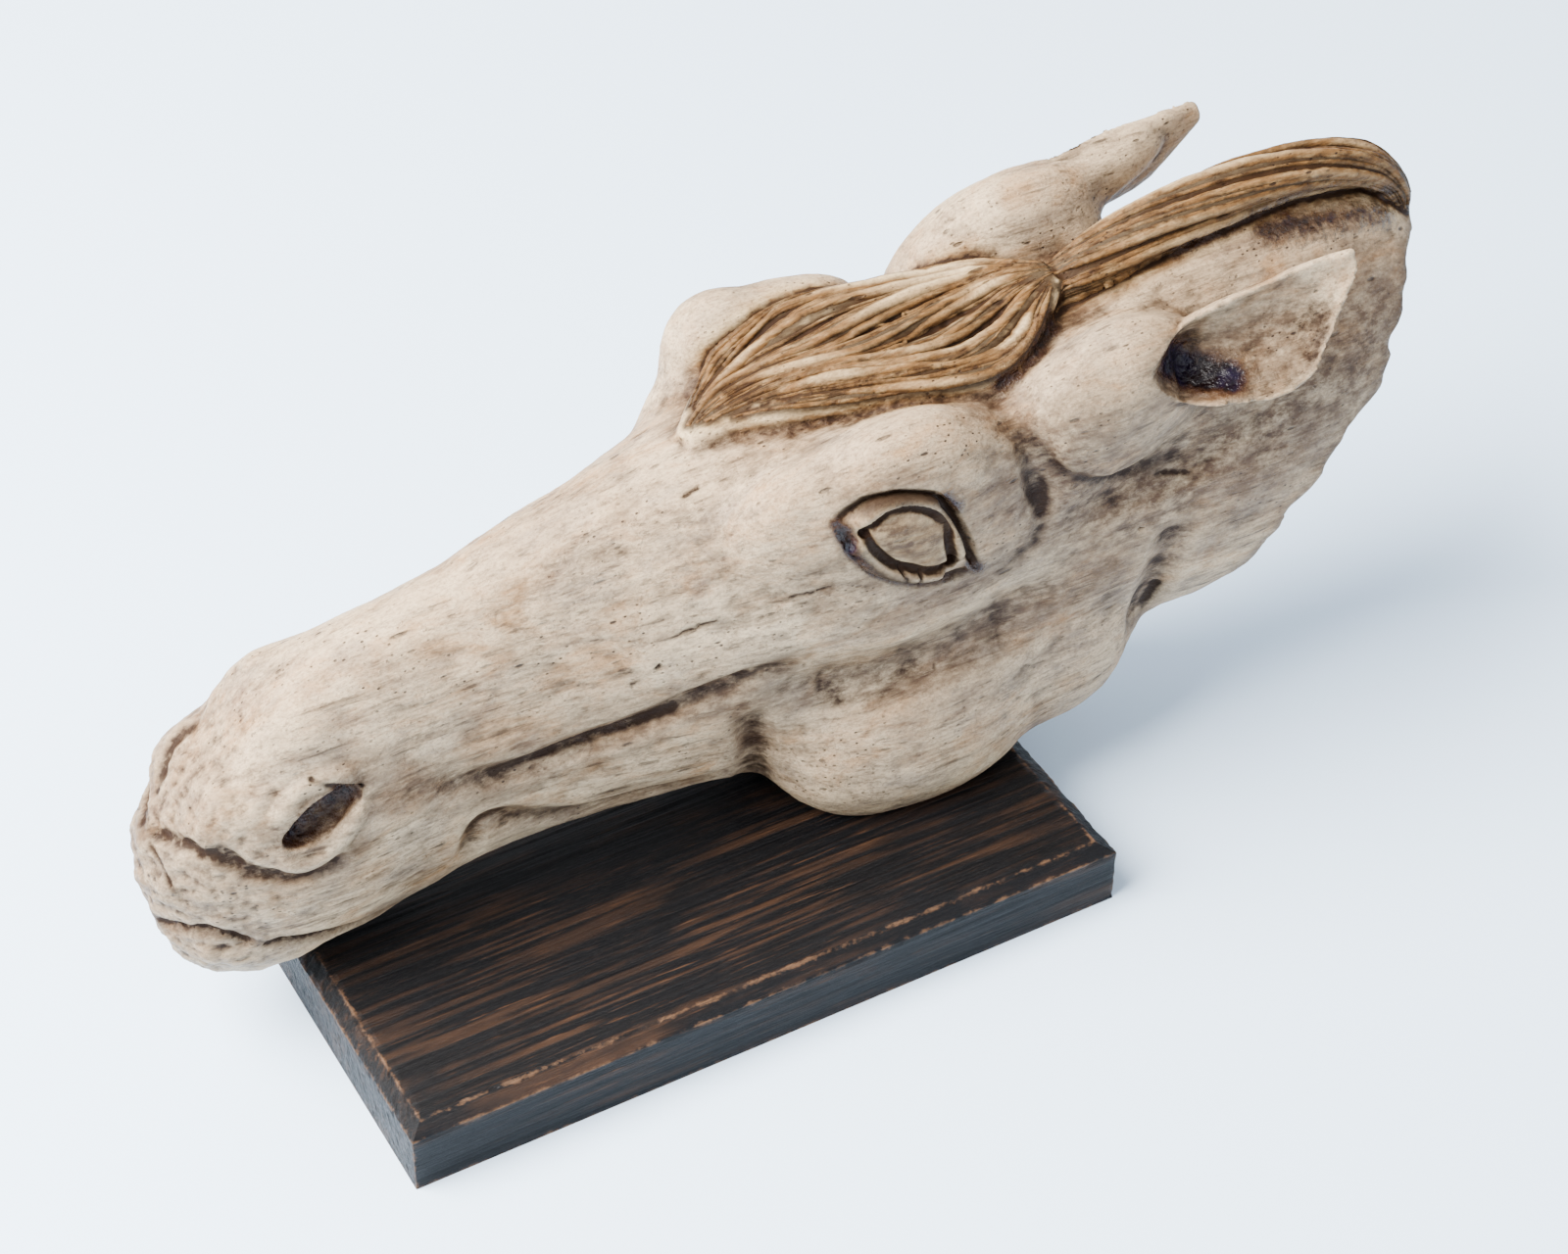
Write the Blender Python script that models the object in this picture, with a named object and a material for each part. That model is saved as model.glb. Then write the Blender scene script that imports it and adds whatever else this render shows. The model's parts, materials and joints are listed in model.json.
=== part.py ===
"""Hollow ceramic horse head that lies on its chin and cheeks on a bevelled wooden board.

Metres, +Z up. The origin is in the middle of the board's underside, +X runs from the muzzle to
the neck, and the horse's left side faces -Y.

The head is a free form. It is drawn in units, with x from the muzzle tip, y from the middle
plane and z from the plane that the head lies on. HEAD_LENGTH, taken before the end of the neck
is torn away, sets the size of a unit.
"""

import math
from dataclasses import dataclass

import bmesh
import bpy
import numpy as np

# Driving dimensions in metres
BOARD_LENGTH = 0.260
BOARD_WIDTH = 0.190
BOARD_HEIGHT = 0.025
BOARD_BEVEL_DROP = 0.0032
BOARD_BEVEL_RUN = 0.0055
BOARD_ARRIS = 0.0007
HEAD_LENGTH = 0.500
MUZZLE_OVERHANG = 0.046
HEAD_WALL = 0.009
REST_GAP = 0.0003

# Grain of the clay, and how finely its bodies are drawn
BLEND_VOXEL = 3.5
BLEND_TIMES = 28
CLAY_VOXEL = 2.0
CLAY_FACES = 9200
RING_POINTS = 56
RING_COUNT = 90
RING_STEP = 6.0
BAR_POINTS = 10
LUMP_RINGS = 18
LUMP_POINTS = 28
STRAND_POINTS = 34

# Side view: top and bottom of the section at each distance from the muzzle tip
TOP_LINE = [
    (0, 60), (4, 70), (11, 79), (21, 89), (36, 103), (51, 114), (64, 120), (81, 124), (99, 127),
    (133, 136), (169, 145), (196, 150), (226, 151), (276, 151), (306, 155), (326, 160), (366, 168),
    (411, 171), (451, 163), (476, 145), (500, 112),
]
UNIT = HEAD_LENGTH / TOP_LINE[-1][0]
BOTTOM_LINE = [
    (0, 54), (2, 34), (5, 20), (14, 8), (30, 0), (51, 0), (66, 2), (81, 6), (101, 11), (136, 13),
    (176, 12), (206, 10), (236, 10), (276, 12), (316, 18), (346, 24), (376, 22), (500, 10),
]
# Height of the widest place of the section, and half of the width there
MIDDLE_LINE = [
    (0, 60), (26, 62), (51, 68), (86, 73), (136, 80), (176, 87), (216, 98), (251, 108),
    (286, 104), (326, 90), (376, 85), (426, 92), (500, 112),
]
HALF_WIDTH = [
    (0, 8), (5, 15), (14, 22), (31, 28), (48, 31), (66, 31), (86, 28), (116, 27), (146, 30),
    (176, 35), (206, 41), (231, 46), (256, 49), (276, 48), (296, 46), (326, 45), (376, 47),
    (416, 46), (446, 39), (476, 28), (500, 20),
]
# Exponents of the section's upper and lower half: 2 is an ellipse, more is squarer
TOP_EXPONENT = [
    (0, 1.8), (60, 1.8), (120, 2.0), (190, 2.4), (240, 2.9), (290, 2.6), (345, 1.9), (500, 1.6),
]
BOTTOM_EXPONENT = [(0, 2.0), (50, 2.2), (100, 2.3), (190, 2.3), (300, 2.4), (500, 2.2)]

# The torn end of the neck: its place at the height of the resting plane, how it leans, and the
# size, count and start of each wave round its rim
TORN_X = 344.0
TORN_LEAN = 0.85
TORN_WAVES = ((3.0, 5, 0.4), (1.7, 11, 2.1), (1.2, 23, 4.0))
TORN_CENTRE = 95.0
TORN_BLOCK = {"half": 90.0, "low": -40.0, "high": 230.0, "depth": 160.0, "steps": 60}

# The hollow ends in a round cap in the brow
HOLLOW_START = 225.0
HOLLOW_CAP = 26.0
HOLLOW_CAP_RINGS = 6

# Locks of the mane: far edge and near edge of each, with y towards the far side
FORELOCK_FAR = [
    (328, 4, 167), (309, 18, 164), (294, 24, 162), (268, 25, 163), (246, 25, 162), (230, 24, 158),
    (216, 20, 154), (204, 11, 152), (194, 1, 150),
]
FORELOCK_NEAR = [
    (328, -3, 166), (318, -10, 162), (305, -17, 158), (290, -20, 155), (270, -19, 154),
    (248, -14, 154), (230, -8, 154), (212, -3, 153), (194, -1, 150),
]
FORELOCK_STRANDS = 7
FORELOCK_THICKNESS = 4.6
FORELOCK_BED = 5.0
FORELOCK_CROWN = 3.0
FORELOCK_WAVE = 0.05
FORELOCK_WAVE_TURNS = 1.4
FORELOCK_WAVE_SHIFT = 0.9
CREST_PATH = [
    (322, 0, 159), (340, 0, 166), (372, 0, 174), (418, 0, 177), (451, 0, 170), (466, 0, 158),
    (470, 0, 148),
]
CREST_STRANDS = 5
CREST_RADIUS = 6.5
CREST_FLATNESS = 0.7
CREST_THICKNESS = 4.0
CREST_TWIST = 0.55
CREST_REACH = 1.5
GROOVE_RADIUS = 3.6
GROOVE_DEPTH = 3.4
HAIR_RISE = 3.5

# The ear's upper and lower rim, from the base to the tip, and its cup along them
EAR_UPPER_RIM = [
    (343, 42, 151), (347, 41, 160), (355, 41, 166), (366, 42, 169), (382, 43, 172), (399, 44, 175),
    (414, 47, 177),
]
EAR_LOWER_RIM = [
    (344, 45, 147), (347, 51, 142), (354, 55, 141), (365, 58, 140), (379, 59, 138), (395, 58, 142),
    (415, 49, 171),
]
EAR_DEPTH = [(0.0, 1.0), (0.07, 7.0), (0.28, 16.0), (0.6, 10.0), (1.0, 1.0)]
EAR_THICKNESS = [(0.0, 14.0), (0.3, 10.0), (1.0, 7.0)]
EAR_RIM_SHARE = 0.6
EAR_BOWL = 0.8
EAR_MOUTH = 30.0
EAR_ROWS = 24
EAR_COLUMNS = 14
FAR_EAR_LIFT = 17.0
FAR_EAR_FALL = 0.8


@dataclass(frozen=True)
class Lump:
    """An ellipsoid of clay that is worked into the head, tipped up by pitch at its rear."""

    centre: tuple
    radii: tuple
    pitch: float = 0.0


@dataclass(frozen=True)
class Stroke:
    """A stroke of the modelling tool along a path, raised where height is positive.

    It runs out over the taper at both ends, and a sideways one meets the clay at any depth.
    """

    path: tuple
    radius: float
    height: float
    taper: float = 0.0
    sideways: bool = False


PAIRED_LUMPS = (
    Lump((264, 33, 121), (38, 18, 33)),
    Lump((230, 31, 126), (39, 15, 27), -13.0),
    Lump((58, 12, 96), (26, 12, 19)),
    Lump((281, 21, 52), (71, 27, 55)),
    Lump((264, 27, 30), (56, 28, 43)),
    Lump((316, 25, 36), (38, 24, 36)),
    Lump((50, 19, 78), (22, 12, 15)),
    Lump((28, 14, 76), (16, 13, 17)),
)
NEAR_LUMPS = (Lump((248, 33, 131), (42, 17, 27)),)
FAR_LUMPS = (
    Lump((247, 35, 139), (38, 18, 32)),
    Lump((225, 37, 153), (22, 14, 20)),
    Lump((362, 41, 168), (42, 11, 14), 10.0),
)
MIDDLE_LUMPS = (
    Lump((36, 0, 15), (28, 20, 15)),
    Lump((16, 0, 54), (14, 18, 22)),
)
EAR_ROOT = Lump((326, 34, 138), (43, 18, 28), 18.0)
NOSTRIL = Lump((52, 29.5, 77.5), (15, 8.5, 7.4), 25.0)

STROKES = (
    # Cheek bone
    Stroke(((240, 48, 96), (200, 40, 95), (150, 32, 90)), 20, 2.2, 40),
    # Hollow below the cheek bone, and the groove that runs on to the lips
    Stroke(((312, 44, 74), (265, 45, 68), (236, 43, 66), (196, 38, 72)), 18, -5.0, 26),
    Stroke(((216, 41, 84), (188, 36, 78), (157, 30, 69), (137, 27, 67), (117, 26, 65), (84, 27, 72)),
           8, -4.5, 26),
    # Jaw: the groove between the bars and the lips, and the notch before the cheek
    Stroke(((205, 26, 31), (180, 24, 27), (146, 21, 30), (129, 21, 36), (111, 24, 45), (104, 24, 42),
            (101, 19, 26)), 7, -2.8, 10),
    Stroke(((196, 36, 64), (200, 33, 48), (204, 26, 31), (208, 22, 16)), 9, -3.8, 8),
    # Temple behind the brow, the folds below the ear, and the fold where the head meets the neck
    Stroke(((290, 36, 152), (299, 41, 134), (299, 43, 106)), 12, -3.6, 14),
    Stroke(((287, 36, 153), (292, 43, 143), (295, 46, 130), (300, 43, 112), (296, 44, 100),
            (285, 47, 96)), 6, -1.7, 16),
    Stroke(((293, 40, 148), (296, 45, 140), (302, 47, 129), (311, 48, 122), (330, 43, 113),
            (352, 42, 111)), 5, -2.0, 16),
    Stroke(((305, 44, 104), (340, 44, 108), (380, 44, 112)), 14, -3.0, 24),
    Stroke(((356, 42, 88), (351, 38, 55), (346, 33, 34)), 12, -5.5, 8),
    # Mouth and lips
    Stroke(((3, 4, 35), (10, 16, 37), (18, 21, 36), (29, 20, 29), (38, 22, 26), (54, 22, 21),
            (68, 20, 16), (84, 19, 14)), 4.5, -4.4, 8),
    Stroke(((6, 8, 25), (16, 19, 24), (32, 22, 17), (52, 21, 11)), 6, 1.6, 10),
    Stroke(((4, 1, 70), (10, 11, 73), (14, 19, 73), (20, 23, 69)), 4, -2.0, 5),
    # Folds round the nostril
    Stroke(((18, 22, 77), (22, 24, 71), (28, 25, 64), (36, 27, 60), (47, 28, 57), (55, 29, 58),
            (60, 30, 61)), 5.5, -3.0, 6),
    Stroke(((37, 27, 79), (45, 27, 89), (58, 27, 91), (68, 28, 87)), 5, 1.8, 6),
    Stroke(((35, 29, 68), (44, 30, 62), (56, 30, 67), (67, 29, 80)), 4.5, 1.6, 6),
    # Eye: the ball, the lines of the upper and the lower lid, the lids and the line round the ball
    Stroke(((236, 50, 132), (246, 50, 126), (256, 50, 118)), 12, 3.2, sideways=True),
    Stroke(((216, 46, 139), (225, 49, 140), (235, 51, 144), (245, 52, 143), (257, 52, 137),
            (266, 51, 120), (274, 48, 100)), 3.8, -4.2, 7, True),
    Stroke(((225, 49, 136), (228, 48, 125), (238, 48, 113), (250, 49, 105), (261, 49, 102),
            (271, 49, 101)), 3.8, -3.8, 5, True),
    Stroke(((227, 49, 131), (231, 48, 122), (240, 48, 114), (250, 49, 109), (262, 49, 106)),
           3.6, 2.4, 4, True),
    Stroke(((228, 50, 137), (236, 51, 141), (246, 52, 140), (255, 52, 135), (262, 51, 121),
            (267, 50, 109)), 2.8, 2.0, 4, True),
    Stroke(((230, 50, 134), (240, 52, 140), (250, 52, 137), (258, 51, 129), (260, 51, 118),
            (264, 50, 108), (253, 49, 110), (240, 49, 118), (230, 50, 134)), 3.0, -3.2, 0, True),
)


def smooth_value(points, at):
    """Values of the monotone curve through (x, value) points at the given places."""
    x, y = (np.array(column, dtype=float) for column in zip(*points))
    step, rise = np.diff(x), np.diff(y)
    slope = rise / step
    turn = slope[:-1] * slope[1:]
    inner = np.where(turn > 0, 2 * turn / np.where(turn > 0, slope[:-1] + slope[1:], 1), 0)
    tangent = np.concatenate(([slope[0]], inner, [slope[-1]]))
    span = np.clip(np.searchsorted(x, at, side="right") - 1, 0, len(x) - 2)
    t = np.clip((at - x[span]) / step[span], 0, 1)
    start, end = tangent[span] * step[span], tangent[span + 1] * step[span]
    return (
        y[span] + t * start + t**2 * (3 * rise[span] - 2 * start - end)
        + t**3 * (start + end - 2 * rise[span])
    )


def smooth_path(points, count):
    """Evenly shared points on the smooth curve through three-dimensional points."""
    points = np.array(points, dtype=float)
    ends = np.vstack((2 * points[0] - points[1], points, 2 * points[-1] - points[-2]))
    t = np.linspace(0, len(points) - 1, count)
    span = np.minimum(t.astype(int), len(points) - 2)
    t = (t - span)[:, None]
    before, start, end, after = (ends[span + i] for i in range(4))
    return 0.5 * (
        2 * start + (end - before) * t + (2 * before - 5 * start + 4 * end - after) * t**2
        + (3 * start - before - 3 * end + after) * t**3
    )


def section(x, inset=0.0):
    """One closed ring of the head across x, drawn in by inset."""
    top, bottom, middle, half, up, down = (
        smooth_value(line, np.array([x]))[0]
        for line in (TOP_LINE, BOTTOM_LINE, MIDDLE_LINE, HALF_WIDTH, TOP_EXPONENT, BOTTOM_EXPONENT)
    )
    turn = np.linspace(0, 2 * math.pi, RING_POINTS, endpoint=False)
    across, upward = np.cos(turn), np.sin(turn)
    exponent = np.where(upward > 0, up, down)
    height = np.where(upward > 0, top - middle, middle - bottom) - inset
    y = (half - inset) * np.sign(across) * np.abs(across) ** (2 / exponent)
    z = middle + height * np.sign(upward) * np.abs(upward) ** (2 / exponent)
    return np.column_stack((np.full(RING_POINTS, float(x)), y, z))


def loft(rings):
    """Vertices and faces of the closed body through a row of rings."""
    count = len(rings[0])
    faces = []
    for row in range(len(rings) - 1):
        for i in range(count):
            a, b = row * count + i, row * count + (i + 1) % count
            faces.append((a, b, b + count, a + count))
    faces.append(tuple(range(count)))
    last = (len(rings) - 1) * count
    faces.append(tuple(last + i for i in reversed(range(count))))
    return np.vstack(rings), faces


def skull_body():
    """The head and neck without their lumps and strokes."""
    end = TOP_LINE[-1][0] - 5
    places = end * (1 - np.cos(np.linspace(0, math.pi / 2, RING_COUNT)))
    even = np.arange(RING_STEP, end, RING_STEP)
    places = np.unique(np.clip(np.concatenate((places, even)), 0.05, end))
    return loft([section(x) for x in places])


def hollow_body():
    """The space inside the head, open past the torn end of the neck."""
    wall = HEAD_WALL / UNIT
    rings = []
    for turn in np.linspace(0.15, 1, HOLLOW_CAP_RINGS) * math.pi / 2:
        ring = section(HOLLOW_START + HOLLOW_CAP * (1 - math.cos(turn)), wall)
        centre = ring.mean(axis=0)
        rings.append(centre + (ring - centre) * np.array([1, math.sin(turn), math.sin(turn)]))
    rows = np.arange(HOLLOW_START + HOLLOW_CAP + RING_STEP, TOP_LINE[-1][0] - 4, RING_STEP)
    return loft(rings + [section(x, wall) for x in rows])


def tube(path, radii):
    """A round bar along a path, with its own radius at each point and closed ends."""
    tangent = np.gradient(path, axis=0)
    tangent /= np.linalg.norm(tangent, axis=1)[:, None]
    side = np.cross(tangent, (0.0, 0.0, 1.0))
    side /= np.linalg.norm(side, axis=1)[:, None]
    above = np.cross(side, tangent)
    turn = np.linspace(0, 2 * math.pi, BAR_POINTS, endpoint=False)
    return loft([
        path[i] + radii[i] * (np.outer(np.cos(turn), side[i]) + np.outer(np.sin(turn), above[i]))
        for i in range(len(path))
    ])


def ellipsoid(lump, side=1, lift=0.0):
    """A lump of clay, mirrored to the near side where side is -1."""
    turn = np.linspace(0, 2 * math.pi, LUMP_POINTS, endpoint=False)
    cosine, sine = math.cos(math.radians(lump.pitch)), math.sin(math.radians(lump.pitch))
    rings = []
    for place in np.linspace(0.08, math.pi - 0.08, LUMP_RINGS):
        x = np.full(LUMP_POINTS, -lump.radii[0] * math.cos(place))
        y = lump.radii[1] * math.sin(place) * np.cos(turn)
        z = lump.radii[2] * math.sin(place) * np.sin(turn)
        rings.append(np.column_stack((
            lump.centre[0] + x * cosine - z * sine,
            side * lump.centre[1] + y,
            lump.centre[2] + lift + x * sine + z * cosine,
        )))
    return loft(rings)


def ear_lift(side, share):
    """How much higher the far ear stands than the near one, along the ear."""
    return FAR_EAR_LIFT * max(side, 0) * (1 - FAR_EAR_FALL * share**2)


def ear(side):
    """The cupped ear between its two rims, laid back along the neck, and the space in its cup."""
    upper, lower = smooth_path(EAR_UPPER_RIM, EAR_ROWS), smooth_path(EAR_LOWER_RIM, EAR_ROWS)
    along = np.gradient((upper + lower) / 2, axis=0)
    outward = np.cross(along, lower - upper)
    outward /= np.linalg.norm(outward, axis=1)[:, None]
    share = np.linspace(0, 1, EAR_ROWS)
    depth, thickness = smooth_value(EAR_DEPTH, share), smooth_value(EAR_THICKNESS, share)
    across = np.linspace(0, 1, EAR_COLUMNS)[:, None]
    bowl = np.sin(math.pi * across) ** EAR_BOWL
    clay, space = [], []
    for i in range(EAR_ROWS):
        line = upper[i] + (lower[i] - upper[i]) * across
        front = line - outward[i] * depth[i] * bowl
        back = front - outward[i] * thickness[i] * (EAR_RIM_SHARE + (1 - EAR_RIM_SHARE) * bowl)
        turned, lift = np.array([1, side, 1]), np.array([0, 0, ear_lift(side, share[i])])
        clay.append(np.vstack((front, back[::-1])) * turned + lift)
        space.append(np.vstack((line + outward[i] * EAR_MOUTH, front[::-1])) * turned + lift)
    return loft(clay), loft(space)


def forelock_path(part):
    """The wavy line at a share of the way from the forelock's far edge to its near edge."""
    far, near = smooth_path(FORELOCK_FAR, STRAND_POINTS), smooth_path(FORELOCK_NEAR, STRAND_POINTS)
    share = np.linspace(0, 1, STRAND_POINTS)
    turn = 2 * math.pi * (FORELOCK_WAVE_TURNS * share + FORELOCK_WAVE_SHIFT * part)
    mix = np.clip(part + FORELOCK_WAVE * np.sin(turn) * np.sin(math.pi * share), 0, 1)[:, None]
    lift = FORELOCK_CROWN * math.sin(math.pi * part) * np.sin(math.pi * share) ** 0.5
    return far + (near - far) * mix + np.column_stack((0 * share, 0 * share, lift))


def forelock_strands():
    """The strands that fall from the poll over the forehead, on the bed of clay below them."""
    share = np.linspace(0, 1, STRAND_POINTS)
    thickness = FORELOCK_THICKNESS * (0.55 + 0.45 * np.sin(math.pi * share) ** 0.6)
    for strand in range(FORELOCK_STRANDS):
        path = forelock_path(strand / (FORELOCK_STRANDS - 1))
        yield tube(path, thickness)
        yield tube(path - np.array([0, 0, FORELOCK_BED]), thickness)


def crest_path(part, share_of_reach=1.0):
    """A line laid round the rope of the crest, at a share of a full turn."""
    path = smooth_path(CREST_PATH, STRAND_POINTS)
    share = np.linspace(0, 1, STRAND_POINTS)
    reach = share_of_reach * CREST_RADIUS * np.sin(math.pi * (0.12 + 0.8 * share)) ** 0.5
    turn = 2 * math.pi * (part + CREST_TWIST * share)
    upward = CREST_FLATNESS * reach * np.sin(turn)
    return path + np.column_stack((0 * share, reach * np.cos(turn), upward))


def crest_strands():
    """The rope of hair along the crest, with its strands laid round each other."""
    share = np.linspace(0, 1, STRAND_POINTS)
    thickness = CREST_THICKNESS * np.sin(math.pi * (0.12 + 0.76 * share)) ** 0.5
    for strand in range(CREST_STRANDS):
        yield tube(crest_path(strand / CREST_STRANDS), thickness)


def hair_grooves():
    """The strokes that part the strands of the forelock and the crest."""
    for gap in range(FORELOCK_STRANDS - 1):
        path = forelock_path((gap + 0.5) / (FORELOCK_STRANDS - 1)) + np.array([0, 0, HAIR_RISE])
        yield Stroke(path, GROOVE_RADIUS, -GROOVE_DEPTH)
    for gap in range(CREST_STRANDS):
        yield Stroke(crest_path((gap + 0.5) / CREST_STRANDS, CREST_REACH), GROOVE_RADIUS, -GROOVE_DEPTH)


def mesh_of(name, parts):
    """One mesh from several bodies, with their faces turned outwards."""
    vertices, faces, start = [], [], 0
    for part_vertices, part_faces in parts:
        vertices.append(part_vertices)
        faces += [tuple(start + i for i in face) for face in part_faces]
        start += len(part_vertices)
    mesh = bpy.data.meshes.new(name)
    mesh.from_pydata(np.vstack(vertices).tolist(), [], faces)
    shape = bmesh.new()
    shape.from_mesh(mesh)
    bmesh.ops.recalc_face_normals(shape, faces=shape.faces)
    shape.to_mesh(mesh)
    shape.free()
    return mesh


def add_object(name, mesh):
    """A new object in the scene."""
    thing = bpy.data.objects.new(name, mesh)
    bpy.context.scene.collection.objects.link(thing)
    return thing


def apply_modifiers(thing):
    """Put the evaluated mesh in the place of the object's own and take its modifiers off."""
    graph = bpy.context.evaluated_depsgraph_get()
    mesh = bpy.data.meshes.new_from_object(thing.evaluated_get(graph))
    thing.modifiers.clear()
    thing.data = mesh


def coordinates(mesh):
    """The mesh's vertices as an array."""
    flat = np.empty(len(mesh.vertices) * 3, dtype=np.float32)
    mesh.vertices.foreach_get("co", flat)
    return flat.reshape(-1, 3).astype(float)


def set_coordinates(mesh, places):
    """Move the mesh's vertices to new places."""
    mesh.vertices.foreach_set("co", places.astype(np.float32).ravel())
    mesh.update()


def normals(mesh):
    """The mesh's vertex normals as an array."""
    flat = np.empty(len(mesh.vertices) * 3, dtype=np.float32)
    mesh.vertex_normals.foreach_get("vector", flat)
    return flat.reshape(-1, 3).astype(float)


def distance_to_path(places, path):
    """Distance from each place to a path of straight runs, and from there to the path's nearer end."""
    nearest, along = np.full(len(places), np.inf), np.zeros(len(places))
    lengths = np.concatenate(([0.0], np.cumsum(np.linalg.norm(np.diff(path, axis=0), axis=1))))
    for start, end, done in zip(path[:-1], path[1:], lengths):
        run = end - start
        share = np.clip((places - start) @ run / (run @ run), 0, 1)
        distance = np.linalg.norm(places - start - share[:, None] * run, axis=1)
        closer = distance < nearest
        nearest[closer] = distance[closer]
        along[closer] = done + share[closer] * np.linalg.norm(run)
    return nearest, np.minimum(along, lengths[-1] - along)


def press(mesh, stroke, mirrored=True):
    """Press or raise the clay along a stroke, on both sides of the head where mirrored."""
    places, facing = coordinates(mesh), normals(mesh)
    side = np.abs(places[:, 1]) if mirrored else places[:, 1]
    near = np.column_stack((places[:, 0], side, places[:, 2]))
    path = smooth_path(stroke.path, 5 * len(stroke.path))
    if stroke.sideways:
        near[:, 1] = np.where(side > path[:, 1].min() / 2, 0.0, side - path[:, 1].mean())
        path[:, 1] = 0.0
    distance, from_end = distance_to_path(near, path)
    weight = np.clip(1 - (distance / stroke.radius) ** 2, 0, 1) ** 2
    if stroke.taper:
        weight *= np.clip(from_end / stroke.taper, 0, 1)
    set_coordinates(mesh, places + facing * (stroke.height * weight)[:, None])


def smooth_clay(thing, times, factor=0.5):
    """Even out the clay's surface."""
    modifier = thing.modifiers.new("smooth", "SMOOTH")
    modifier.factor = factor
    modifier.iterations = times
    apply_modifiers(thing)


def even_out(thing, voxel, smoothing):
    """Give the clay one even skin and smooth it."""
    remesh = thing.modifiers.new("clay", "REMESH")
    remesh.mode = "VOXEL"
    remesh.voxel_size = voxel
    apply_modifiers(thing)
    smooth_clay(thing, smoothing)


def torn_cutter():
    """The block whose wavy face tears the neck off."""
    half, steps = TORN_BLOCK["half"], TORN_BLOCK["steps"]
    across, upward = np.meshgrid(
        np.linspace(-half, half, steps), np.linspace(TORN_BLOCK["low"], TORN_BLOCK["high"], steps)
    )
    turn = np.arctan2(upward - TORN_CENTRE, across)
    wave = sum(size * np.sin(count * turn + start) for size, count, start in TORN_WAVES)
    front = np.column_stack((
        (TORN_X + TORN_LEAN * upward + wave).ravel(), across.ravel(), upward.ravel(),
    ))
    back = front + np.array([TORN_BLOCK["depth"], 0, 0])
    total = steps * steps
    grid = np.arange(total).reshape(steps, steps)
    corners = (grid[:-1, :-1], grid[:-1, 1:], grid[1:, 1:], grid[1:, :-1])
    faces = list(zip(*(corner.ravel().tolist() for corner in corners)))
    faces += [tuple(total + corner for corner in reversed(face)) for face in faces]
    rim = np.concatenate((grid[0, :], grid[1:, -1], grid[-1, -2::-1], grid[-2:0:-1, 0])).tolist()
    faces += [(b, a, a + total, b + total) for a, b in zip(rim, rim[1:] + rim[:1])]
    return np.vstack((front, back)), faces


def cut(thing, name, body):
    """Take a body away from the object."""
    cutter = add_object(name, mesh_of(name, [body]))
    modifier = thing.modifiers.new(name, "BOOLEAN")
    modifier.operation = "DIFFERENCE"
    modifier.solver = "MANIFOLD"
    modifier.object = cutter
    apply_modifiers(thing)
    bpy.data.objects.remove(cutter)


def finish(name, colour, roughness, metallic=0.0):
    """A plain material for one sub-part."""
    material = bpy.data.materials.new(name)
    material.use_nodes = True
    shader = material.node_tree.nodes["Principled BSDF"]
    shader.inputs["Base Color"].default_value = (*colour, 1.0)
    shader.inputs["Roughness"].default_value = roughness
    shader.inputs["Metallic"].default_value = metallic
    return material


def work_together(name, bodies, voxel, smoothing):
    """One body from several that overlap, with its seams worked smooth."""
    clay = add_object(name, mesh_of(name, bodies))
    even_out(clay, voxel, smoothing)
    return clay


def make_head():
    """The hollow ceramic head, in its place above the board."""
    bodies = [skull_body()]
    bodies += [ellipsoid(lump, side) for lump in PAIRED_LUMPS for side in (1, -1)]
    bodies += [ellipsoid(lump, -1) for lump in NEAR_LUMPS]
    bodies += [ellipsoid(lump) for lump in (*FAR_LUMPS, *MIDDLE_LUMPS)]
    bodies += [ellipsoid(EAR_ROOT, side, ear_lift(side, 0)) for side in (1, -1)]
    skull = work_together("skull", bodies, BLEND_VOXEL, BLEND_TIMES)
    bodies = [(coordinates(skull.data), [tuple(face.vertices) for face in skull.data.polygons])]
    bpy.data.objects.remove(skull)
    ears = [ear(side) for side in (1, -1)]
    bodies += [*forelock_strands(), *crest_strands(), *(clay for clay, _ in ears)]
    head = work_together("horse_head", bodies, CLAY_VOXEL, 1)
    for _, space in ears:
        cut(head, "ear_cup", space)
    for side in (1, -1):
        cut(head, "nostril", ellipsoid(NOSTRIL, side))
    for stroke in STROKES:
        press(head.data, stroke)
    for stroke in hair_grooves():
        press(head.data, stroke, mirrored=False)
    cut(head, "hollow", hollow_body())
    cut(head, "torn_end", torn_cutter())
    even_out(head, CLAY_VOXEL, 1)
    thin = head.modifiers.new("thin", "DECIMATE")
    thin.ratio = min(1.0, CLAY_FACES / sum(len(face.vertices) - 2 for face in head.data.polygons))
    apply_modifiers(head)
    places = coordinates(head.data)
    places[:, 2] = np.maximum(places[:, 2], 0.0)
    places *= UNIT
    places += np.array([-BOARD_LENGTH / 2 - MUZZLE_OVERHANG, 0, BOARD_HEIGHT + REST_GAP])
    set_coordinates(head.data, places)
    head.data.shade_smooth()
    head.data.materials.clear()
    head.data.materials.append(finish("ceramic", (0.56, 0.45, 0.33), 0.6))
    return head


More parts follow.
